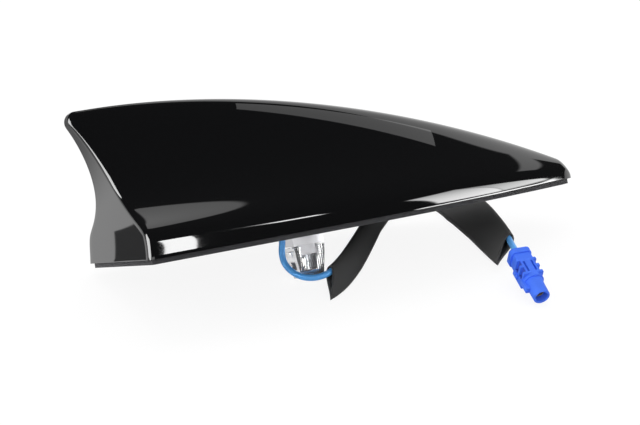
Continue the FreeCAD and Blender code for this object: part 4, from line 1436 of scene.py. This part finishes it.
@dataclass
class Studio:
    """Floor, light and camera, matched to the photo; in metres.

    The floor is darker to reflections behind the tail, painted shade that only reflections show: a soft
    shade, and a slanting band before it.
    Each of their edges is a smooth step between two places on the floor.
    """

    eye: Point = (-0.488407, -1.197457, 0.050705)
    ahead: Point = (0.385337, 0.922208, -0.032373)
    right: Point = (0.907401, -0.385061, -0.168382)
    lens: float = 141.99
    sensor: float = 36.0
    clip: Pair = (0.01, 50.0)
    aim: Point = (0.02, 0.0, 0.03)
    floor_half: float = 4.0
    floor_colour: Colour = (0.8, 0.8, 0.805)
    floor_glow: float = 0.90
    floor_paint: float = 0.12
    shade_left: Pair = (-0.24, -0.2)
    shade_right: Pair = (-0.06, -0.08)
    shade_front: Pair = (0.112, 0.145)
    shade_depth: float = 0.75
    band_slant: float = 0.32
    band_left: Pair = (-0.121, -0.12)
    band_right: Pair = (-0.0955, -0.0965)
    band_front: Pair = (0.064, 0.066)
    band_back: Pair = (0.0985, 0.0975)
    room: float = 0.05
    fill: float = 0.82
    fill_blue: float = 1.015
    openings: tuple[Opening, ...] = (
        Opening(43.25, 20.75, -3.0, 49.4, 1.35, head_rise=-0.158, soft=0.7),
        Opening(71.5, 9.5, 24.3, 29.5, 1.35, soft=0.7),
        Opening(146.5, 3.0, 41.8, 44.0, 24.0, soft=0.8),
        Opening(105.5, 6.5, 7.0, 20.3, 12.0, foot_rise=0.45, head_rise=2.2, fade=0.6, soft=0.8),
        Opening(121.0, 9.0, 14.0, 34.5, 17.0, foot_rise=0.45, fade=0.45, soft=0.8),
        Opening(118.0, 20.0, -5.0, 7.0, 20.0, head_rise=0.2, soft=0.8),
        Opening(-102.0, 32.0, 0.0, 55.0, 15.0, soft=2.0),
        Opening(190.0, 22.0, 4.0, 26.0, 2.4, soft=2.0),
    )
    strips: tuple[StripLamp, ...] = (
        StripLamp(
            "side_strip", (15.5, -248, 220), along=(-1.0, 0.0, 0.0), across=(0.0, -0.6, -0.8),
            size=(21, 112), radiance=23.0,
        ),
        StripLamp(
            "spine_strip", (40.6, 27.5, 100.2), along=(0.9545, -0.1295, -0.2687),
            across=(0.1561, 0.9845, 0.0802), size=(114, 14.2), radiance=1.25,
        ),
    )
    lamps: tuple[SoftLamp, ...] = (
        SoftLamp("top", (0.1, 0.25, 1.1), size=(1.2, 0.7), power=3.6),
        SoftLamp("left", (-1.0, 0.1, 0.45), size=(0.6, 0.6), power=1.4),
    )

    def axes(self) -> Matrix:
        """Finds the floor's directions.

        Returns:
            Rotation whose columns are the floor's side, away and up directions.
        """
        up = floor_up()
        away = Vector((0.0, math.cos(FLOOR_TILT), math.sin(FLOOR_TILT)))
        return Matrix((away.cross(up), away, up)).transposed()

    def place(self, x: float, y: float, z: float) -> Vector:
        """A point given along the floor and up from it."""
        return self.axes() @ Vector((x, y, z)) + FLOOR_ORIGIN

    def build_floor(self) -> None:
        """Builds the pale floor, which is white to the viewer, keeps a soft shadow and is open from below."""
        half = self.floor_half
        corners = [(-half, -half), (half, -half), (half, half), (-half, half)]
        mesh = bpy.data.meshes.new("floor")
        mesh.from_pydata([tuple(self.place(x, y, 0.0)) for x, y in corners], [], [(0, 1, 2, 3)])
        spots = mesh.uv_layers.new(name=FLOOR_UV)
        for loop in mesh.loops:
            spots.data[loop.index].uv = corners[loop.vertex_index]
        made = bpy.data.materials.new("floor_white")
        made.use_nodes = True
        tree = made.node_tree
        tree.nodes.clear()
        path = add_node(tree, "ShaderNodeLightPath")
        paint = add_node(tree, "ShaderNodeBsdfDiffuse", {"Color": (*self.floor_colour, 1)})
        grey = (self.floor_paint, self.floor_paint, self.floor_paint, 1)
        shadow = add_node(tree, "ShaderNodeBsdfDiffuse", {"Color": grey})
        glow = add_node(tree, "ShaderNodeEmission")
        # The floor's glow, with painted shade behind the tail that only reflections show.
        tree.links.new(self.tail_painted_shade(tree, path.outputs["Is Glossy Ray"]), glow.inputs["Strength"])
        both = add_node(tree, "ShaderNodeAddShader")
        seen = add_node(tree, "ShaderNodeMath", operation="MAXIMUM")
        shown = add_node(tree, "ShaderNodeMixShader")
        clear = add_node(tree, "ShaderNodeBsdfTransparent")
        side = add_node(tree, "ShaderNodeNewGeometry")
        mix = add_node(tree, "ShaderNodeMixShader")
        out = add_node(tree, "ShaderNodeOutputMaterial")
        wire(
            tree,
            (shadow, "BSDF", both, 0),
            (glow, "Emission", both, 1),
            (path, "Is Camera Ray", seen, 0),
            (path, "Is Glossy Ray", seen, 1),
            (seen, "Value", shown, "Fac"),
            (paint, "BSDF", shown, 1),
            (both, "Shader", shown, 2),
            (side, "Backfacing", mix, "Fac"),
            (shown, "Shader", mix, 1),
            (clear, "BSDF", mix, 2),
            (mix, "Shader", out, "Surface"),
        )
        mesh.materials.append(made)
        placed("floor", mesh)

    def tail_painted_shade(self, tree: Tree, glossy: Socket) -> Socket:
        """Paints shade on the floor behind the tail, for reflections alone.

        Args:
            tree: The floor's node tree.
            glossy: Socket that is 1 for reflected rays.

        Returns:
            The socket with the floor's glow.
        """
        where = add_node(tree, "ShaderNodeUVMap", uv_map=FLOOR_UV)
        parts = add_node(tree, "ShaderNodeSeparateXYZ")
        wire(tree, (where, "UV", parts, "Vector"))
        x, y = parts.outputs["X"], parts.outputs["Y"]
        shade = self.steps(tree, (x, self.shade_left), (x, self.shade_right), (y, self.shade_front))
        shade = self.sum_of(tree, "MULTIPLY", shade, self.shade_depth)
        slant = self.sum_of(tree, "MULTIPLY_ADD", y, self.band_slant, x)
        band = self.steps(
            tree,
            (slant, self.band_left),
            (slant, self.band_right),
            (y, self.band_front),
            (y, self.band_back),
        )
        dark = self.sum_of(tree, "MULTIPLY", self.sum_of(tree, "MAXIMUM", shade, band), glossy)
        return self.sum_of(tree, "MULTIPLY_ADD", dark, -self.floor_glow, self.floor_glow)

    @staticmethod
    def sum_of(tree: Tree, kind: str, *inputs: Socket | float) -> Socket:
        """Adds one sum to a node tree.

        Args:
            tree: The node tree.
            kind: Kind of sum.
            inputs: Sockets or numbers that go in.

        Returns:
            The socket with the answer.
        """
        node = add_node(tree, "ShaderNodeMath", operation=kind)
        for number, value in enumerate(inputs):
            if isinstance(value, Socket):
                tree.links.new(value, node.inputs[number])
            else:
                node.inputs[number].default_value = value
        return node.outputs["Value"]

    def steps(self, tree: Tree, *edges: tuple[Socket, Pair]) -> Socket:
        """Adds smooth steps that are multiplied together.

        Args:
            tree: The node tree.
            edges: For each step its socket, and the values where it is 0 and where it is 1.

        Returns:
            The socket with the product.
        """
        product = 1.0
        for value, (start, end) in edges:
            ramp = add_node(
                tree, "ShaderNodeMapRange", {"From Min": start, "From Max": end},
                interpolation_type="SMOOTHSTEP",
            )
            tree.links.new(value, ramp.inputs["Value"])
            product = self.sum_of(tree, "MULTIPLY", product, ramp.outputs["Result"])
        return product

    def room_light(self, tree: Tree) -> Socket:
        """Adds the brightness of the room in each direction.

        Args:
            tree: The world's node tree.

        Returns:
            The socket with the brightness.
        """
        look = add_node(tree, "ShaderNodeTexCoord")
        parts = []
        for axis in self.axes().transposed():
            dot = add_node(tree, "ShaderNodeVectorMath", {1: tuple(axis)}, operation="DOT_PRODUCT")
            wire(tree, (look, "Generated", dot, 0))
            parts.append(dot.outputs["Value"])
        bearing = self.sum_of(tree, "DEGREES", self.sum_of(tree, "ARCTAN2", parts[0], parts[1]))
        height = self.sum_of(tree, "DEGREES", self.sum_of(tree, "ARCSINE", parts[2]))
        total = self.room
        for window in self.openings:
            turn = self.sum_of(tree, "SUBTRACT", bearing, window.middle)
            off = self.sum_of(tree, "WRAP", turn, 180.0, -180.0)
            wide = self.sum_of(tree, "ABSOLUTE", off)
            head = self.sum_of(tree, "MULTIPLY_ADD", off, window.head_rise, window.head)
            under = self.sum_of(tree, "SUBTRACT", head, height)
            foot = self.sum_of(tree, "MULTIPLY_ADD", off, window.foot_rise, window.foot)
            over = self.sum_of(tree, "SUBTRACT", height, foot)
            soft = (-window.soft, window.soft)
            sides = (window.half + window.soft, window.half - window.soft)
            inside = self.steps(tree, (wide, sides), (under, soft), (over, soft))
            loss = (window.fade - 1.0) / (window.head - window.foot)
            level = self.sum_of(tree, "MAXIMUM", self.sum_of(tree, "MULTIPLY_ADD", over, loss, 1.0), 0.0)
            bright = self.sum_of(tree, "MULTIPLY", level, window.radiance)
            total = self.sum_of(tree, "MAXIMUM", self.sum_of(tree, "MULTIPLY", inside, bright), total)
        return total

    def build_world(self) -> None:
        """Builds the white surround for the viewer, the even fill, and the room that reflections see."""
        world = bpy.data.worlds.new("studio")
        bpy.context.scene.world = world
        world.use_nodes = True
        tree = world.node_tree
        tree.nodes.clear()
        path = add_node(tree, "ShaderNodeLightPath")
        out = add_node(tree, "ShaderNodeOutputWorld")
        white = add_node(tree, "ShaderNodeBackground", {"Color": WHITE, "Strength": 1.0})
        room = add_node(tree, "ShaderNodeBackground", {"Color": WHITE})
        tree.links.new(self.room_light(tree), room.inputs["Strength"])
        even = (self.fill, self.fill, self.fill * self.fill_blue, 1)
        fill = add_node(tree, "ShaderNodeBackground", {"Color": even})
        glossy = add_node(tree, "ShaderNodeMixShader")
        seen = add_node(tree, "ShaderNodeMixShader")
        wire(
            tree,
            (path, "Is Glossy Ray", glossy, "Fac"),
            (fill, "Background", glossy, 1),
            (room, "Background", glossy, 2),
            (path, "Is Camera Ray", seen, "Fac"),
            (glossy, "Shader", seen, 1),
            (white, "Background", seen, 2),
            (seen, "Shader", out, "Surface"),
        )

    def build_camera(self) -> None:
        """Builds the camera from the fitted view."""
        data = bpy.data.cameras.new("camera")
        data.lens = self.lens
        data.sensor_width = self.sensor
        data.clip_start, data.clip_end = self.clip
        camera = placed("camera", data)
        ahead = Vector(self.ahead).normalized()
        right = Vector(self.right).normalized()
        turn = Matrix((right, right.cross(ahead), -ahead)).transposed()
        camera.matrix_world = Matrix.Translation(Vector(self.eye)) @ turn.to_4x4()
        bpy.context.scene.camera = camera

    def build(self) -> None:
        """Builds the whole stage."""
        self.build_floor()
        for strip in self.strips:
            strip.build(self.axes(), self.place(*(part * MM for part in strip.middle)))
        self.build_world()
        for lamp in self.lamps:
            lamp.build(self.place(*lamp.middle), Vector(self.aim))
        self.build_camera()
        view = bpy.context.scene.view_settings
        view.view_transform = "Standard"
        view.look = "None"


def dress_nodes() -> None:
    """Gives every CAD node its own finish."""
    for node, finish in NODE_FINISH.items():
        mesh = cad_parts[node].data
        mesh.materials.clear()
        mesh.materials.append(finish.material())
        LOG.info("dressed %s in %s", node, finish.name)


def main() -> None:
    """Builds the antenna and its stage, and reports each piece."""
    logging.basicConfig(level=logging.INFO)
    dress_nodes()
    for assembly in (FinCover(), Fixing(), Pigtail()):
        for piece in assembly.build():
            LOG.info("built %s", piece.name)
    Studio().build()


if __name__ == "__main__":
    main()
